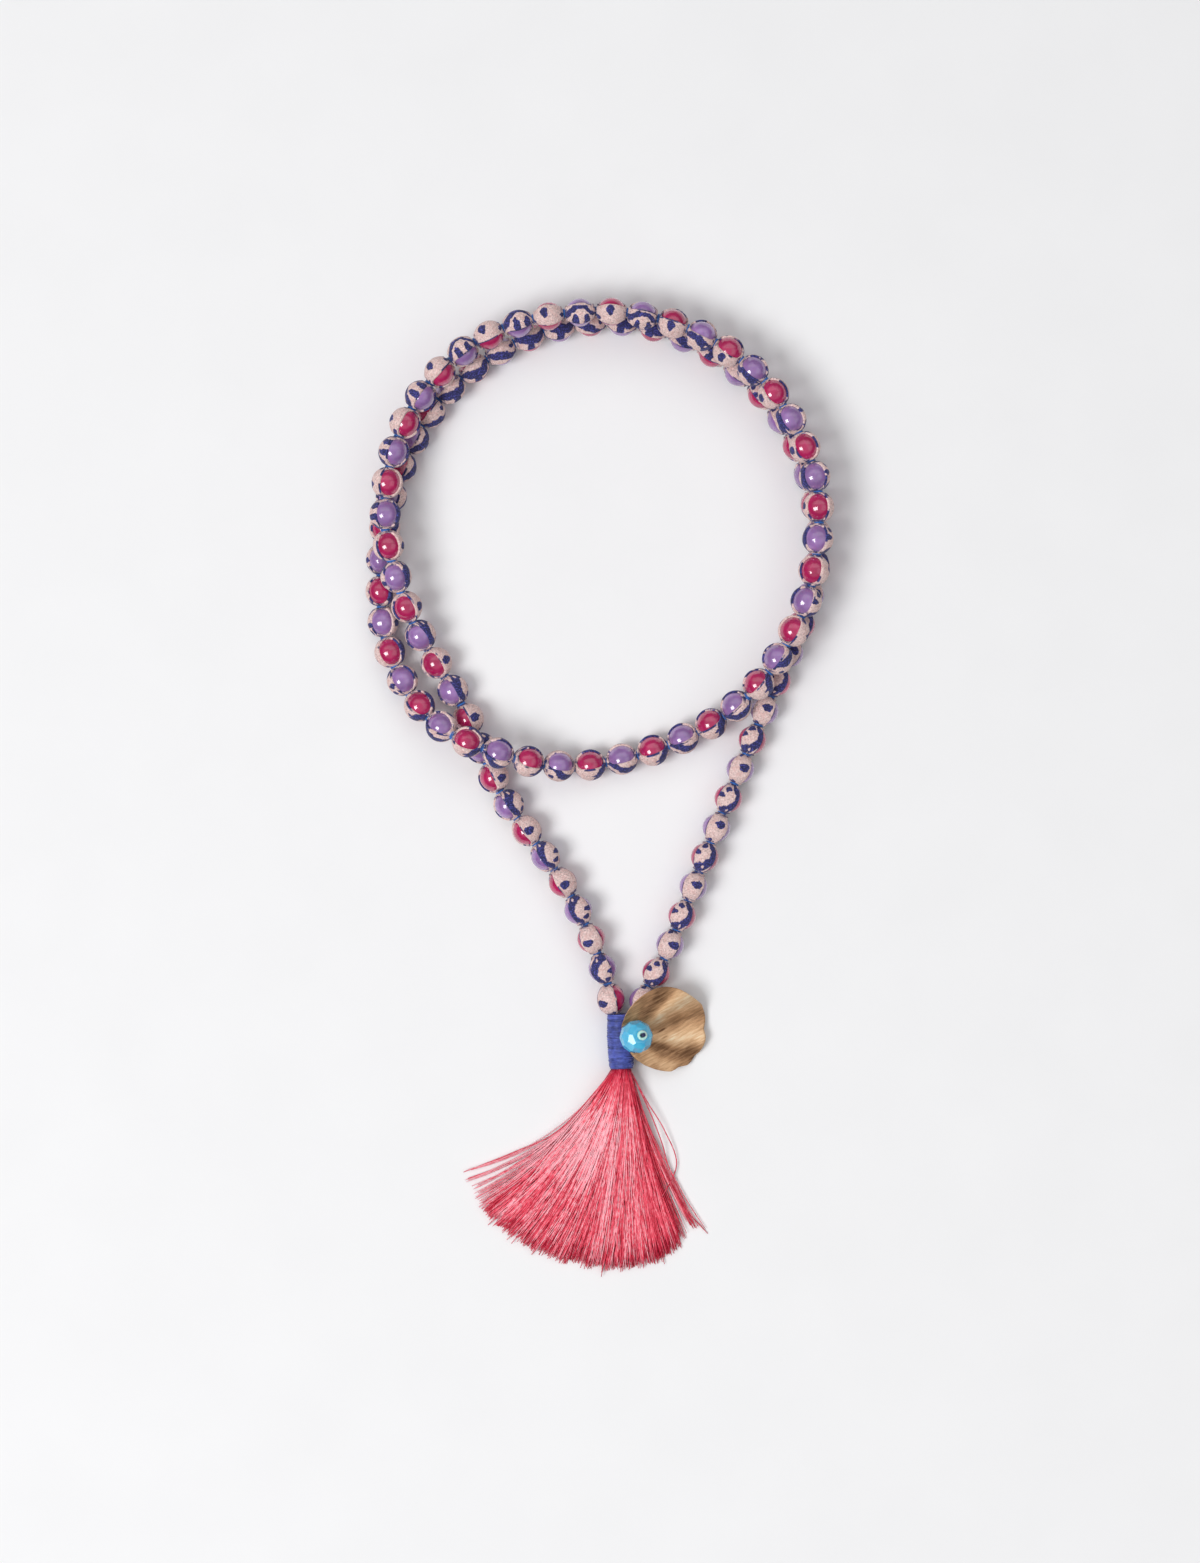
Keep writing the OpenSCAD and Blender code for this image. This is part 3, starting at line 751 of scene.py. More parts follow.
class NECKLACE_OT_ribbon(bpy.types.Operator):
    """Wrap every ball in printed ribbon that leaves an oval open on two sides"""
    bl_idname = "necklace.ribbon"
    bl_label = "Ribbon wraps"

    def execute(self, context):
        s = context.scene.necklace_string
        ties, frames = string_frames(context)
        rng = random.Random(11)
        out = Gather("along", "across", "chart", "seed")
        for j, axes in enumerate(frames):
            half = (ties[j + 1] - ties[j]).length / 2
            add_wrap(out, j, axes, half, s.bead_d / 2, s.wrap_d / 2, rng)
        obj = out.make("printed_ribbon", ribbon_material(tuple(s.pink), tuple(s.navy)))
        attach(obj, BODY)
        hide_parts("ribbon_wraps")
        return {"FINISHED"}


class NECKLACE_OT_balls(bpy.types.Operator):
    """Give the drilled resin balls their two colours of resin"""
    bl_idname = "necklace.balls"
    bl_label = "Resin balls"

    def execute(self, context):
        s = context.scene.necklace_string
        for node, tint in (("magenta_beads", s.magenta), ("lilac_beads", s.lilac)):
            name = node.replace("_beads", " resin")
            material = resin_material(name, tuple(tint), shade(tint, 1.12, 0.02))
            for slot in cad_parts[node].material_slots:
                slot.material = material
        return {"FINISHED"}


# ---- ties ----

# Thread through the balls; then loops of a tie, their radius, thread, pitch and lean
THREAD_R = 0.3
TIE_LOOPS = 4
TIE_R = 1.22
TIE_THREAD_R = 0.18
TIE_PITCH = 0.25
TIE_LEAN = 0.16


class NECKLACE_OT_ties(bpy.types.Operator):
    """Wind blue thread round the ribbon between every two balls"""
    bl_idname = "necklace.ties"
    bl_label = "Ties and thread"

    def execute(self, context):
        ties, frames = string_frames(context)
        rng = random.Random(5)
        out = Gather("tone")
        for a, b in zip(ties, ties[1:]):
            out.add(tube_points([a, b], THREAD_R, 6), ring_faces(2, 6, close_ends=True), tone=0.2)
        sides, around = 5, 18
        for j in range(1, len(ties) - 1):
            along = (frames[j][0] - frames[j - 1][0]).normalized()
            up, side = level_axes(along)
            for k in range(TIE_LOOPS):
                lean = rng.uniform(-TIE_LEAN, TIE_LEAN)
                side_lean = rng.uniform(-TIE_LEAN, TIE_LEAN)
                step = k - (TIE_LOOPS - 1) / 2
                offset = step * TIE_PITCH
                r = TIE_R - 0.09 * abs(step) + rng.uniform(-0.03, 0.06)
                path = [ties[j] + (up * math.cos(t) + side * math.sin(t)) * r
                        + along * (offset + lean * math.cos(t) + side_lean * math.sin(t))
                        for t in turn_angles(around)]
                out.add(tube_points(path, TIE_THREAD_R, sides, closed=True),
                        ring_faces(around, sides, closed_path=True), tone=rng.random())
        obj = out.make("string_ties", thread_material(
            "blue tie thread", (0.07, 0.15, 0.42), (0.2, 0.48, 0.82), 1100))
        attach(obj, BODY)
        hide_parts("stringing_thread")
        return {"FINISHED"}


# ---- tassel ----

# Binding: depth of the valley between two turns, depth of its soft unevenness, how far its end
# rows are drawn in, and half the thickness of a turn that crosses the others
VALLEY = 0.24
BINDING_SOFT = 0.1
BINDING_END = 0.15
CROSS_R = 0.17
# Turns that cross over the others, most of them near the fringe: shares along the binding
CROSSINGS = [(0.84, 0.95), (0.93, 0.83), (0.88, 0.97), (0.78, 0.86), (0.1, 0.03), (0.04, 0.08),
             (0.4, 0.44)]


def from_head(x, y, z):
    """A point given in the head's own frame, in millimetres."""
    t = math.radians(HEAD_TURN)
    return Vector((HEAD[0] + x * math.cos(t) - y * math.sin(t),
                   HEAD[1] + x * math.sin(t) + y * math.cos(t), HEAD[2] + z))


def binding_radius(s):
    """Radius of the binding at a share of its length."""
    return (BINDING_D - BINDING_WAIST * (2 * s - 1) ** 2) / 2


def on_binding(s, t, r):
    """A point round the binding's axis at a share of its length."""
    return from_head(r * math.cos(t), -s * BINDING_LEN, r * math.sin(t))


class NECKLACE_OT_binding(bpy.types.Operator):
    """Wind blue thread round the tassel's head"""
    bl_idname = "necklace.binding"
    bl_label = "Wound binding"

    def execute(self, context):
        turns = context.scene.necklace_tassel.turns
        out = Gather("tone")
        rng = random.Random(23)
        sides, rows_per_turn = 56, 6
        rows = turns * rows_per_turn
        points, tones = [], []
        tone_of = [rng.uniform(0.1, 0.9) for _ in range(turns + 3)]
        for i in range(rows + 1):
            s = i / rows
            for k, t in enumerate(turn_angles(sides)):
                x, y = math.cos(t), math.sin(t)
                slip = drift(i / rows_per_turn * 0.45, 1.4 * x, 1.4 * y)
                phase = s * turns + k / sides + 0.7 * slip
                ridge = abs(math.sin(math.pi * phase))
                r = binding_radius(s) - VALLEY * (1 - ridge ** 0.8)
                r -= BINDING_SOFT * (1 + drift(s * 9, x * 2, y * 2))
                if i in (0, rows):
                    r -= BINDING_END
                points.append(on_binding(s, t, r))
                tones.append(tone_of[int(phase) % len(tone_of)] + 0.2 * drift(phase, 3 * x, 3 * y))
        inner = PLUG_D / 2 + SEAT_GAP
        inside = [(1, inner + 0.1), (0.97, inner), (0.03, inner), (0, inner + 0.1)]
        for s, r in inside:
            points += [on_binding(s, t, r) for t in turn_angles(sides)]
        tones += [0.2] * (sides * len(inside))
        out.add(points, ring_faces(rows + 1 + len(inside), sides, closed_path=True), tone=tones)
        steps = 36
        for start, end in CROSSINGS:
            lean = rng.uniform(0, PHASE)
            path = []
            for t in turn_angles(steps):
                s = mix(start, end, 0.5 - 0.5 * math.cos(t + lean))
                path.append(on_binding(s, t, binding_radius(s) - CROSS_R))
            out.add(tube_points(path, CROSS_R, 6, closed=True),
                    ring_faces(steps, 6, closed_path=True), tone=rng.uniform(0.4, 0.9))
        tint = context.scene.necklace_tassel.binding
        obj = out.make("wound_binding", thread_material(
            "binding silk", shade(tint, 0.45), shade(tint, 0.9, 0.17), 800, 0.45, 0.05))
        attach(obj, BODY)
        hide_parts("tassel_binding")
        return {"FINISHED"}


def fringe_heights(s):
    """Side, crown and underside heights and boxiness at a share of the fringe's length."""
    return [lookup(s, [(row[0], row[k]) for row in FRINGE_ROWS]) for k in range(1, 5)]


def heading(angle, length):
    """A step in the head's plan, at an angle from straight down."""
    a = math.radians(angle)
    return Vector((math.sin(a), -math.cos(a))) * length


def fan_share(angle):
    """Place across the fan from its left, 0 to 1, of a final angle."""
    return min(1.0, max(0.0, (angle + FAN_LEFT) / (FAN_LEFT + FAN_RIGHT)))


def fringe_reach(angle):
    """Length of the fringe at a final angle."""
    return FRINGE_LEN * lookup(fan_share(angle), LOCK_ROWS)


def fringe_height(q, share, w):
    """Height of a thread: q across the fan, share along it, w from its underside to its crown."""
    edge, crown, under, boxy = fringe_heights(min(1.0, share))
    bulge = max(math.sin(math.pi * min(1, max(0, q))), 0.001) ** boxy
    return mix(edge - (edge - under) * bulge, edge + (crown - edge) * bulge, w) * BINDING_D


def strand_way(angle, start_q, bend_angle, s, length):
    """Place in the head's plan of a thread that leaves at start_q and ends at an angle."""
    start = Vector((-PLUG_D / 2 * math.cos(math.pi * start_q), -BINDING_LEN + THREADS_IN))
    home = Vector((-PLUG_D / 2 * math.cos(math.pi * fan_share(angle)), -BINDING_LEN))
    # the left edge of the mass leaves the head along the outermost threads and peels off later
    bend_angle -= PEEL * smooth(-22, -MASS_LEFT, angle) * smooth(-FAN_LEFT, -MASS_LEFT, angle)
    middle = start + heading(FAN_BEND * bend_angle, length / 2)
    tip = home + heading(angle, length)
    return start * (1 - s) ** 2 + middle * 2 * s * (1 - s) + tip * s * s


def add_core(out):
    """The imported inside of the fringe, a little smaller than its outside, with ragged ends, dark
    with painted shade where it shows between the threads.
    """
    rows, columns = 26, 110
    rng = random.Random(3)
    # where each column ends under the threads, as a share of their length
    ends = [rng.uniform(0.78, 0.91) for _ in range(columns + 1)]
    points, tones, depths = [], [], []
    for i in range(rows + 1):
        for k in range(columns + 1):
            angle = mix(-MASS_LEFT, MASS_RIGHT - 1, k / columns)
            q = fan_share(angle)
            s = i / rows * ends[k]
            length = fringe_reach(angle)
            ridge = 0.5 + 0.5 * drift(q * 70, s * 2, 0)
            p = strand_way(angle, q, angle, s, length)
            z = fringe_height(q, s * length / FRINGE_LEN, 0.6 + 0.14 * ridge)
            points.append(from_head(p.x, p.y, max(z, 0.3) - HEAD[2]))
            # painted shade: the core gets a low tone and depth, darker than the threads over it
            tones.append(0.16 + 0.3 * ridge)
            depths.append(0.3 + 0.3 * ridge)
    top = len(points)
    points += [Vector((p.x, p.y, max(p.z - 0.25, 0.05))) for p in points]
    faces = []
    wide = columns + 1
    for i in range(rows):
        for k in range(columns):
            a = i * wide + k
            faces.append((a, a + wide, a + wide + 1, a + 1))
            faces.append((a + top, a + top + 1, a + top + wide + 1, a + top + wide))
    edge = list(range(wide)) + [i * wide + columns for i in range(1, rows + 1)]
    edge += [rows * wide + k for k in range(columns - 1, -1, -1)]
    edge += [i * wide for i in range(rows - 1, 0, -1)]
    for a, b in zip(edge, edge[1:] + edge[:1]):
        faces.append((a, b, b + top, a + top))
    out.add(points, faces, tone=tones * 2, depth=depths * 2)


def add_thread(out, path, radius, tones, depth, sides=3):
    """One thread along a path, thinner at its tip, with a tone for each point of the path."""
    steps = len(path) - 1
    radii = [radius * (1 - 0.4 * smooth(0.9, 1, i / steps)) for i in range(steps + 1)]
    spread = [min(1.1, max(0.0, t)) for t in tones for _ in range(sides)]
    out.add(tube_points(path, radii, sides), ring_faces(steps + 1, sides, close_ends=True),
            tone=spread, depth=depth)


# Sparse threads beside the mass: final angle, length as a share of the fringe's, how many
SPRAYS = [
    (-57.4, 0.892, 2), (-56.8, 0.875, 1), (-55.3, 0.91, 3), (-54.7, 0.9, 2), (-53.9, 0.885, 2),
    (-52.2, 0.907, 3), (-51.6, 0.895, 2), (-50.2, 0.92, 2), (-49.3, 0.935, 4), (-48.4, 0.925, 3),
    (-47.2, 0.94, 6), (-46.2, 0.95, 7), (15.3, 0.9, 4), (16.4, 0.87, 2), (17.9, 0.815, 6),
    (18.7, 0.83, 7), (19.4, 0.85, 5), (20.6, 0.86, 2), (22.3, 0.9, 1),
]


def add_strand(out, angle, w, length, radius, tone, rng, cross=3.5, stray=0.45):
    """One loose thread; cross turns it across its neighbours, and stray moves its tip aside."""
    q = fan_share(angle)
    start_q = min(1, max(0, q + rng.gauss(0, 0.09)))
    bend_angle = angle + rng.gauss(0, cross)
    wave = rng.uniform(0, PHASE)
    cycles = rng.uniform(5, 11)
    swing = abs(rng.gauss(0, 0.25))
    splay = rng.gauss(0, stray)
    sideways = Vector((math.cos(math.radians(angle)), math.sin(math.radians(angle))))
    steps = 12
    path, tones = [], []
    for i in range(steps + 1):
        s = i / steps
        p = strand_way(angle, start_q, bend_angle, s, length)
        p = p + sideways * (swing * math.sin(math.pi * s) * math.sin(wave + s * cycles)
                            + splay * smooth(0.72, 1, s))
        z = fringe_height(mix(start_q, q, s), s * length / FRINGE_LEN, w)
        path.append(from_head(p.x, p.y, max(z, radius * 1.05) - HEAD[2]))
        # neighbours share their tone in patches; the left side is palest where it turns to the
        # light, and the roots and the right side are darkest
        patch = 0.34 * drift(angle * 0.75, s * 2.2, w * 1.5)
        pale = 0.5 * (math.exp(-((s - 0.42) / 0.24) ** 2) * smooth(4, -34, angle))
        tip = 0.05 * smooth(0.88, 1, s)
        root = 0.42 * smooth(0.27, 0.06, s)
        right = 0.22 * smooth(0, 12, angle)
        tones.append(tone + patch + pale + tip - root - right)
    add_thread(out, path, radius, tones, w)


# Loose threads that bow away from the fringe: points in the plan, mm
STRAYS = [
    [(9.4, -81.6, 3.6), (13.8, -90.0, 2.8), (18.8, -98.3, 1.8), (22.3, -108.2, 1.0),
     (17.8, -117.8, 2.6)],
    [(9.2, -81.6, 3.9), (14.2, -92.0, 2.8), (18.0, -101.7, 1.8), (20.2, -109.2, 1.2),
     (25.9, -121.8, 0.4)],
    [(8.8, -82.0, 4.6), (15.4, -100.0, 2.0), (18.0, -107.5, 1.6), (22.0, -117.4, 0.9),
     (31.2, -128.0, 0.4)],
    [(3.0, -82.4, 4.2), (-11.0, -98.0, 2.4), (-24.0, -104.6, 1.0), (-38.6, -110.4, 0.5)],
]


def add_strays(out, radius, rng):
    """The threads that bow away, each along a smooth curve through its points."""
    steps = 8
    for knots in STRAYS:
        ways = [Vector(k) for k in knots]
        ways = [ways[0]] + ways + [ways[-1]]
        path = [Vector(curve_point(*ways[i:i + 4], k / steps))
                for i in range(len(knots) - 1) for k in range(steps)]
        path.append(ways[-1])
        for p in path:
            p.z = max(p.z, radius)
        add_thread(out, path, radius, [rng.uniform(0.3, 0.8)] * len(path), 0.9)


# Tufts in the fringe, layers it is built in, and threads that lie loose on top of it
TUFTS = 46
LAYERS = 3
TOP_THREADS = 130
# Share of the threads that belong to no tuft
LOOSE_SHARE = 0.4


class NECKLACE_OT_fringe(bpy.types.Operator):
    """Lay the coral threads of the fringe in a fan"""
    bl_idname = "necklace.fringe"
    bl_label = "Silk fringe"

    def execute(self, context):
        t = context.scene.necklace_tassel
        tint = tuple(t.coral)
        deep = [c * gain for c, gain in zip(tint, (0.87, 0.36, 0.58))]
        silk = silk_material(deep, tint, shade(tint, 0.45, 0.57))
        rng = random.Random(41)
        tufts = [mix(-MASS_LEFT + 0.5, MASS_RIGHT - 0.7, (k + rng.uniform(0.15, 0.85)) / TUFTS)
                 for k in range(TUFTS)]
        reach = [1 - 0.03 * rng.random() for _ in tufts]
        radius = t.strand_d / 2
        for layer in range(LAYERS):
            out = Gather("tone", "depth")
            if layer == 0:
                add_core(out)
                add_strays(out, radius, rng)
            for _ in range(t.strands // LAYERS):
                w = (layer + rng.random()) / LAYERS
                k = rng.randrange(len(tufts))
                angle, length = tufts[k] + rng.gauss(0, 0.5), reach[k]
                if rng.random() < LOOSE_SHARE:
                    angle, length = rng.uniform(-MASS_LEFT, MASS_RIGHT), 1
                angle = min(MASS_RIGHT + 0.4, max(-MASS_LEFT - 0.4, angle))
                length *= fringe_reach(angle)
                length *= rng.gauss(0.978, 0.015) - 0.12 * rng.random() ** 3
                # threads near the crown get a lighter tone: painted light on the top of the fringe
                tone = rng.gauss(0.34, 0.19) + 0.2 * smooth(0.8, 1, w)
                add_strand(out, angle, 0.04 + 0.94 * w, length, radius, tone, rng)
            if layer == LAYERS - 1:
                self.add_top(out, radius, rng)
            obj = out.make("silk_fringe_%d" % (layer + 1), silk)
            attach(obj, BODY)
            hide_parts("tassel_fringe")
        return {"FINISHED"}

    def add_top(self, out, radius, rng):
        """The loose threads on top of the fringe, then the sparse ones beside it."""
        for _ in range(TOP_THREADS):
            angle = rng.uniform(-MASS_LEFT, MASS_RIGHT)
            add_strand(out, angle, rng.uniform(1.0, 1.06),
                       fringe_reach(angle) * rng.uniform(0.9, 1.0), radius * 1.15,
                       rng.uniform(0.25, 0.85), rng, cross=7)
        for angle, share, count in SPRAYS:
            tone = 0.8 if angle < 0 else 0.65
            for _ in range(count):
                add_strand(out, angle + rng.gauss(0, 0.25), rng.uniform(0.3, 0.95),
                           FRINGE_LEN * share * (1 - 0.05 * rng.random() ** 2),
                           radius * 0.85, rng.gauss(tone, 0.15), rng, cross=2.0, stray=0.2)


# ---- charm ----

# The petal's hole in the plan
PETAL_SPOT = from_head(BINDING_D * 0.36, -BINDING_LEN * 0.44, -HEAD[2])
# Painted light and shade round the petal: the crests painted bright as highlights, the valleys
# painted dark as shade and patina
PETAL_PAINTED_LIGHT = [
    (-180, 0.45), (-75, 0.5), (-55, 0.6), (-42, 0.68), (-32, 0.5), (-25, 0.2), (-18, 0.06),
    (-12, 0.25), (-7, 0.62), (0, 0.8), (7, 0.72), (13, 0.5), (18, 0.36), (25, 0.5), (34, 0.88),
    (42, 0.7), (50, 0.3), (60, 0.2), (75, 0.35), (100, 0.4), (180, 0.45),
]
# Two small creases beside the faceted bead, darkened with painted shade: middle, turn, half length
# and half width
CREASE_SHADE = [(9.0, 2.1, 30, 1.2, 0.3), (9.9, 0.1, 24, 0.9, 0.24)]


def petal_light_and_shade(x, y):
    """Tone of the brass at a point measured from the hole, with painted light on the crests and
    painted shade in the valleys and creases.
    """
    far = math.hypot(x, y) / PETAL_LEN
    angle = math.degrees(math.atan2(y, x)) + 5 * drift(x * 0.2, y * 0.2, 7)
    tone = mix(0.45, lookup(angle, PETAL_PAINTED_LIGHT), smooth(0.12, 0.45, far))
    for cx, cy, turn, long, wide in CREASE_SHADE:
        t = math.radians(turn)
        dx, dy = x - cx, y - cy
        a = (dx * math.cos(t) + dy * math.sin(t)) / long
        b = (dy * math.cos(t) - dx * math.sin(t)) / wide
        tone -= 0.5 * math.exp(-a * a - b * b)
    return tone


def petal_height(x, y):
    """Underside of the petal at a point measured from its hole."""
    left = max(0.0, 1 - x / PETAL_LEN)
    slope = PETAL_CLIMB if y > 0 else -PETAL_FALL
    far = math.hypot(x, y) / PETAL_LEN
    flute = FLUTE_H * far ** FLUTE_GROWTH * math.cos(math.radians(
        (math.degrees(math.atan2(y, x)) - FLUTE_TURN) * 360 / FLUTE_PITCH))
    return (PETAL_LIP + (PETAL_BASE - PETAL_LIP) * left ** PETAL_SAG
            + slope * (math.hypot(y, PETAL_FLAT) - PETAL_FLAT) * left ** PETAL_FADE + flute)


class NECKLACE_OT_petal(bpy.types.Operator):
    """Beat the thin brass petal into shallow flutes"""
    bl_idname = "necklace.petal"
    bl_label = "Brass petal"

    def execute(self, context):
        out = Gather("tone")
        around, rings = 240, 52
        top, low, tones = [], [], []
        for i in range(rings + 1):
            s = i / rings
            # the hole's edge and the outer edge are rounded off
            edge = 0.12 if i in (0, rings) else 0
            for k in range(around):
                a = -180 + 360 * k / around
                reach = lookup(a, PETAL_ROWS) * PETAL_LEN
                r = PETAL_HOLE_R + (reach - PETAL_HOLE_R) * s
                x, y = r * math.cos(math.radians(a)), r * math.sin(math.radians(a))
                z = petal_height(x, y)
                rub = 0.06 * drift(x * 0.35, y * 0.35, 2)
                # painted light and shade of the flutes and creases
                tones.append(petal_light_and_shade(x, y))
                top.append(PETAL_SPOT + Vector((x, y, z + PETAL_T + rub - edge)))
                low.append(PETAL_SPOT + Vector((x, y, z + rub * 0.5 + edge)))
        # the underside's points follow the upper ones in reverse order
        last = 2 * len(top) - 1
        shell = []
        for f in ring_faces(rings + 1, around):
            shell.append(f)
            shell.append(tuple(last - i for i in reversed(f)))
        for k in range(around):
            m = (k + 1) % around
            outer, outer_m = rings * around + k, rings * around + m
            shell.append((outer, outer_m, last - outer_m, last - outer))
            shell.append((m, k, last - k, last - m))
        out.add(top + low[::-1], shell, tone=tones + tones[::-1])
        obj = out.make("fluted_petal", brass_material())
        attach(obj, BODY)
        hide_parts("brass_petal")
        return {"FINISHED"}


# Facets of the bead in rows: how many, tilt from the thread, turn round it, and the distance of
# the facets from its middle. One facet of the second row faces the key light.
FACET_ROWS = [
    (11, 90, 8, CHARM_D / 2), (9, 64, 0, CHARM_D / 2), (9, 116, 20, CHARM_D / 2),
    (6, 37, 0, CHARM_D / 2), (6, 143, 0, CHARM_D / 2), (1, 0, 0, CHARM_H / 2),
    (1, 180, 0, CHARM_H / 2),
]
# Width of the worn edges between the facets
FACET_EDGE = 0.07


def charm_frame(rise):
    """Matrix of the charm's own frame: z along its thread, from the petal's hole up."""
    lean = Matrix.Rotation(math.radians(CHARM_SWING), 4, "Z") @ Matrix.Rotation(
        math.radians(CHARM_LEAN), 4, "Y")
    up = lean @ Vector((0, 0, 1))
    foot = PETAL_SPOT + Vector((0, 0, PETAL_BASE)) + up * (
        PETAL_T / math.cos(math.radians(CHARM_LEAN)) + CHARM_RISE + rise)
    return Matrix.Translation(foot) @ lean


def cut_solid(rows, size):
    """A block with flat facets cut on all sides, as a mesh for editing."""
    bm = bmesh.new()
    bmesh.ops.create_cube(bm, size=size)
    for count, tilt, turn, reach in rows:
        t = math.radians(tilt)
        for k in range(count):
            a = math.radians(turn + 360 * k / count)
            way = Vector((math.sin(t) * math.cos(a), math.sin(t) * math.sin(a), math.cos(t)))
            cut = bmesh.ops.bisect_plane(bm, geom=bm.verts[:] + bm.edges[:] + bm.faces[:],
                                         plane_co=way * reach, plane_no=way, clear_outer=True)
            rim = [e for e in cut["geom_cut"] if isinstance(e, bmesh.types.BMEdge)]
            if rim:
                bmesh.ops.contextual_create(bm, geom=rim)
    return bm


def lathe(name, profile, sides, matrix, material):
    """A closed ring turned from a closed profile of (radius, height) in millimetres."""
    points = [matrix @ Vector((r * math.cos(t), r * math.sin(t), z))
              for r, z in profile for t in turn_angles(sides)]
    return build_mesh(name, points, ring_faces(len(profile), sides, closed_path=True), material)


class NECKLACE_OT_charm(bpy.types.Operator):
    """Cut the faceted bead, turn the stopper bead and dye their thread"""
    bl_idname = "necklace.charm"
    bl_label = "Charm beads"

    def execute(self, context):
        turquoise = glass_material("turquoise glass", (0.22, 0.66, 0.84), (0.36, 0.78, 0.92))
        pale = glass_material("pale glass", (0.68, 0.90, 0.86), (0.86, 0.97, 0.94), 0.12)
        navy = thread_material("navy thread", (0.06, 0.08, 0.24), (0.16, 0.2, 0.48), 1200)
        bm = cut_solid(FACET_ROWS, 3 * CHARM_D)
        bmesh.ops.bevel(bm, geom=bm.edges[:], offset=FACET_EDGE, segments=1, affect="EDGES")
        bm.transform(charm_frame(CHARM_H / 2))
        bmesh.ops.recalc_face_normals(bm, faces=bm.faces[:])
        corners = [v.co.copy() for v in bm.verts]
        faces = [tuple(v.index for v in f.verts) for f in bm.faces]
        bm.free()
        cut = build_mesh("cut_glass_bead", corners, faces, turquoise, smooth_faces=False)
        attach(cut, BODY)
        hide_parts("faceted_bead")
        bore, half = CHARM_BORE_D / 2, STOPPER_H / 2
        wall = (STOPPER_D - CHARM_BORE_D) / 4
        ring = [(bore + wall + wall * math.cos(t), half + half * math.sin(t))
                for t in turn_angles(16)]
        middle = Matrix.Translation((0, 0, half))
        tilt = middle @ Matrix.Rotation(math.radians(STOPPER_TILT), 4, "Y") @ middle.inverted()
        seed = lathe("pale_seed_bead", ring, 40, charm_frame(CHARM_H + SEAT_GAP) @ tilt, pale)
        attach(seed, BODY)
        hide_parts("stopper_bead")
        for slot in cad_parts["charm_thread"].material_slots:
            slot.material = navy
        return {"FINISHED"}


# ---- studio ----

# Half the floor's width in millimetres, and the camera's place over it in metres
FLOOR_REACH = 4000
CAMERA_X = 0.00043
CAMERA_Y = 0.00129
# Softboxes: way from the necklace, size and distance in metres
KEY_BOX = ((-0.515, -0.25, 0.82), (1.1, 1.1), 2.5)
FILL_BOX = ((0.7, -0.1, 0.7), (1.6, 1.6), 2.2)
# Room light, brighter towards the window side and overhead than near the walls: axis, then the
# places where the change begins and ends and the levels there
ROOM_LEVELS = [("Y", (0.3, 0.36), (0.5, 1.0)), ("Z", (0.42, 0.68), (0.15, 1.0))]


def softbox(name, toward, size, distance, power):
    """A rectangular softbox that looks at the middle of the necklace."""
    data = bpy.data.lights.new(name, "AREA")
    data.shape = "RECTANGLE"
    data.size, data.size_y = size
    data.energy = power
    lamp = bpy.data.objects.new(name, data)
    way = Vector(toward).normalized()
    lamp.location = way * distance
    lamp.rotation_euler = way.to_track_quat("Z", "Y").to_euler()
    bpy.context.scene.collection.objects.link(lamp)


def room_light(strength):
    """The even light of the room, with a level for each direction."""
    world = bpy.data.worlds.new("room")
    world.use_nodes = True
    tree = world.node_tree
    back = tree.nodes["Background"]
    back.inputs["Strength"].default_value = strength
    axes = tree.nodes.new("ShaderNodeSeparateXYZ")
    tree.links.new(tree.nodes.new("ShaderNodeTexCoord").outputs["Generated"], axes.inputs[0])
    both = tree.nodes.new("ShaderNodeMix")
    both.data_type = "RGBA"
    both.blend_type = "MULTIPLY"
    both.inputs[0].default_value = 1.0
    # sockets 6 and 7 are the two colours that the node multiplies
    for socket, (axis, stops, levels) in zip((6, 7), ROOM_LEVELS):
        ramp = tree.nodes.new("ShaderNodeValToRGB")
        for element, place, level in zip(ramp.color_ramp.elements, stops, levels):
            element.position = place
            element.color = (level, level, level, 1)
        tree.links.new(axes.outputs[axis], ramp.inputs["Fac"])
        tree.links.new(ramp.outputs["Color"], both.inputs[socket])
    tree.links.new(both.outputs[2], back.inputs["Color"])
    return world


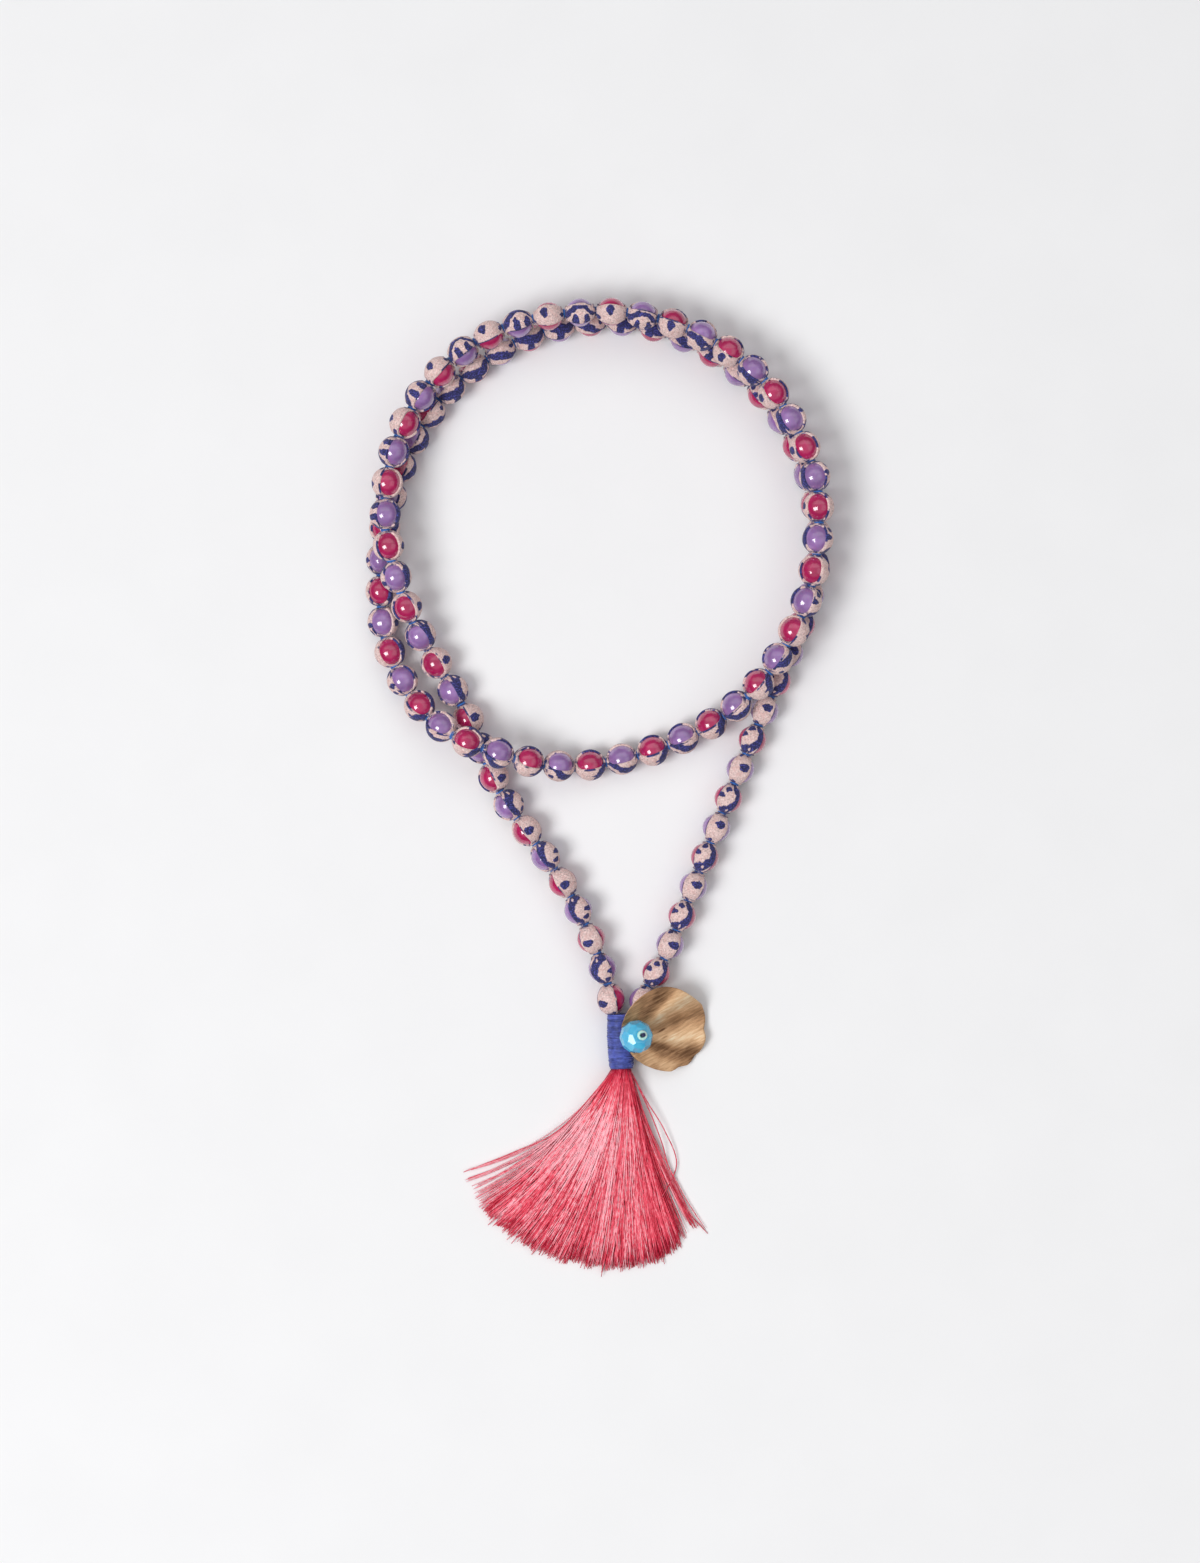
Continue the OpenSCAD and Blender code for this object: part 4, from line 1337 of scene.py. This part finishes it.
class NECKLACE_OT_studio(bpy.types.Operator):
    """Lay the pale floor and set the softboxes, the room light and the camera"""
    bl_idname = "necklace.studio"
    bl_label = "Studio"

    def execute(self, context):
        s = context.scene.necklace_studio
        corners = [(x * FLOOR_REACH, y * FLOOR_REACH, 0)
                   for x, y in ((-1, -1), (1, -1), (1, 1), (-1, 1))]
        floor = build_mesh("floor", corners, [(0, 1, 2, 3)], floor_material(tuple(s.floor)))
        softbox("key softbox", *KEY_BOX, s.key)
        softbox("fill softbox", *FILL_BOX, s.fill)
        context.scene.world = room_light(s.sky)
        lens = bpy.data.cameras.new("camera")
        lens.sensor_width = 36
        lens.sensor_fit = "AUTO"
        lens.lens = s.lens
        lens.clip_start = 0.01
        lens.clip_end = 50
        camera = bpy.data.objects.new("camera", lens)
        camera.location = (CAMERA_X, CAMERA_Y, s.height)
        context.scene.collection.objects.link(camera)
        context.scene.camera = camera
        context.scene.view_settings.view_transform = "Standard"
        return {"FINISHED"}


class NECKLACE_PT_panel(bpy.types.Panel):
    bl_label = "Tassel necklace"
    bl_idname = "NECKLACE_PT_panel"
    bl_space_type = "VIEW_3D"
    bl_region_type = "UI"
    bl_category = "Necklace"

    def draw(self, context):
        for key, operators in PANEL_ROWS:
            box = self.layout.box()
            group = getattr(context.scene, key)
            for name in group.__annotations__:
                box.prop(group, name)
            for operator in operators:
                box.operator(operator.bl_idname)


PANEL_ROWS = (
    ("necklace_string", (NECKLACE_OT_balls, NECKLACE_OT_ribbon, NECKLACE_OT_ties)),
    ("necklace_tassel", (NECKLACE_OT_binding, NECKLACE_OT_fringe, NECKLACE_OT_petal,
                         NECKLACE_OT_charm)),
    ("necklace_studio", (NECKLACE_OT_studio,)),
)
GROUPS = (("necklace_string", NecklaceString), ("necklace_tassel", NecklaceTassel),
          ("necklace_studio", NecklaceStudio))
CLASSES = (NecklaceString, NecklaceTassel, NecklaceStudio, NECKLACE_OT_balls, NECKLACE_OT_ribbon,
           NECKLACE_OT_ties, NECKLACE_OT_binding, NECKLACE_OT_fringe, NECKLACE_OT_petal,
           NECKLACE_OT_charm, NECKLACE_OT_studio, NECKLACE_PT_panel)


def register():
    for cls in CLASSES:
        bpy.utils.register_class(cls)
    for key, group in GROUPS:
        setattr(bpy.types.Scene, key, bpy.props.PointerProperty(type=group))


def unregister():
    for key, _ in GROUPS:
        delattr(bpy.types.Scene, key)
    for cls in reversed(CLASSES):
        bpy.utils.unregister_class(cls)


def main():
    register()
    bpy.ops.necklace.studio()
    bpy.ops.necklace.balls()
    bpy.ops.necklace.ribbon()
    bpy.ops.necklace.ties()
    bpy.ops.necklace.binding()
    bpy.ops.necklace.fringe()
    bpy.ops.necklace.petal()
    bpy.ops.necklace.charm()


if __name__ == "__main__":
    main()
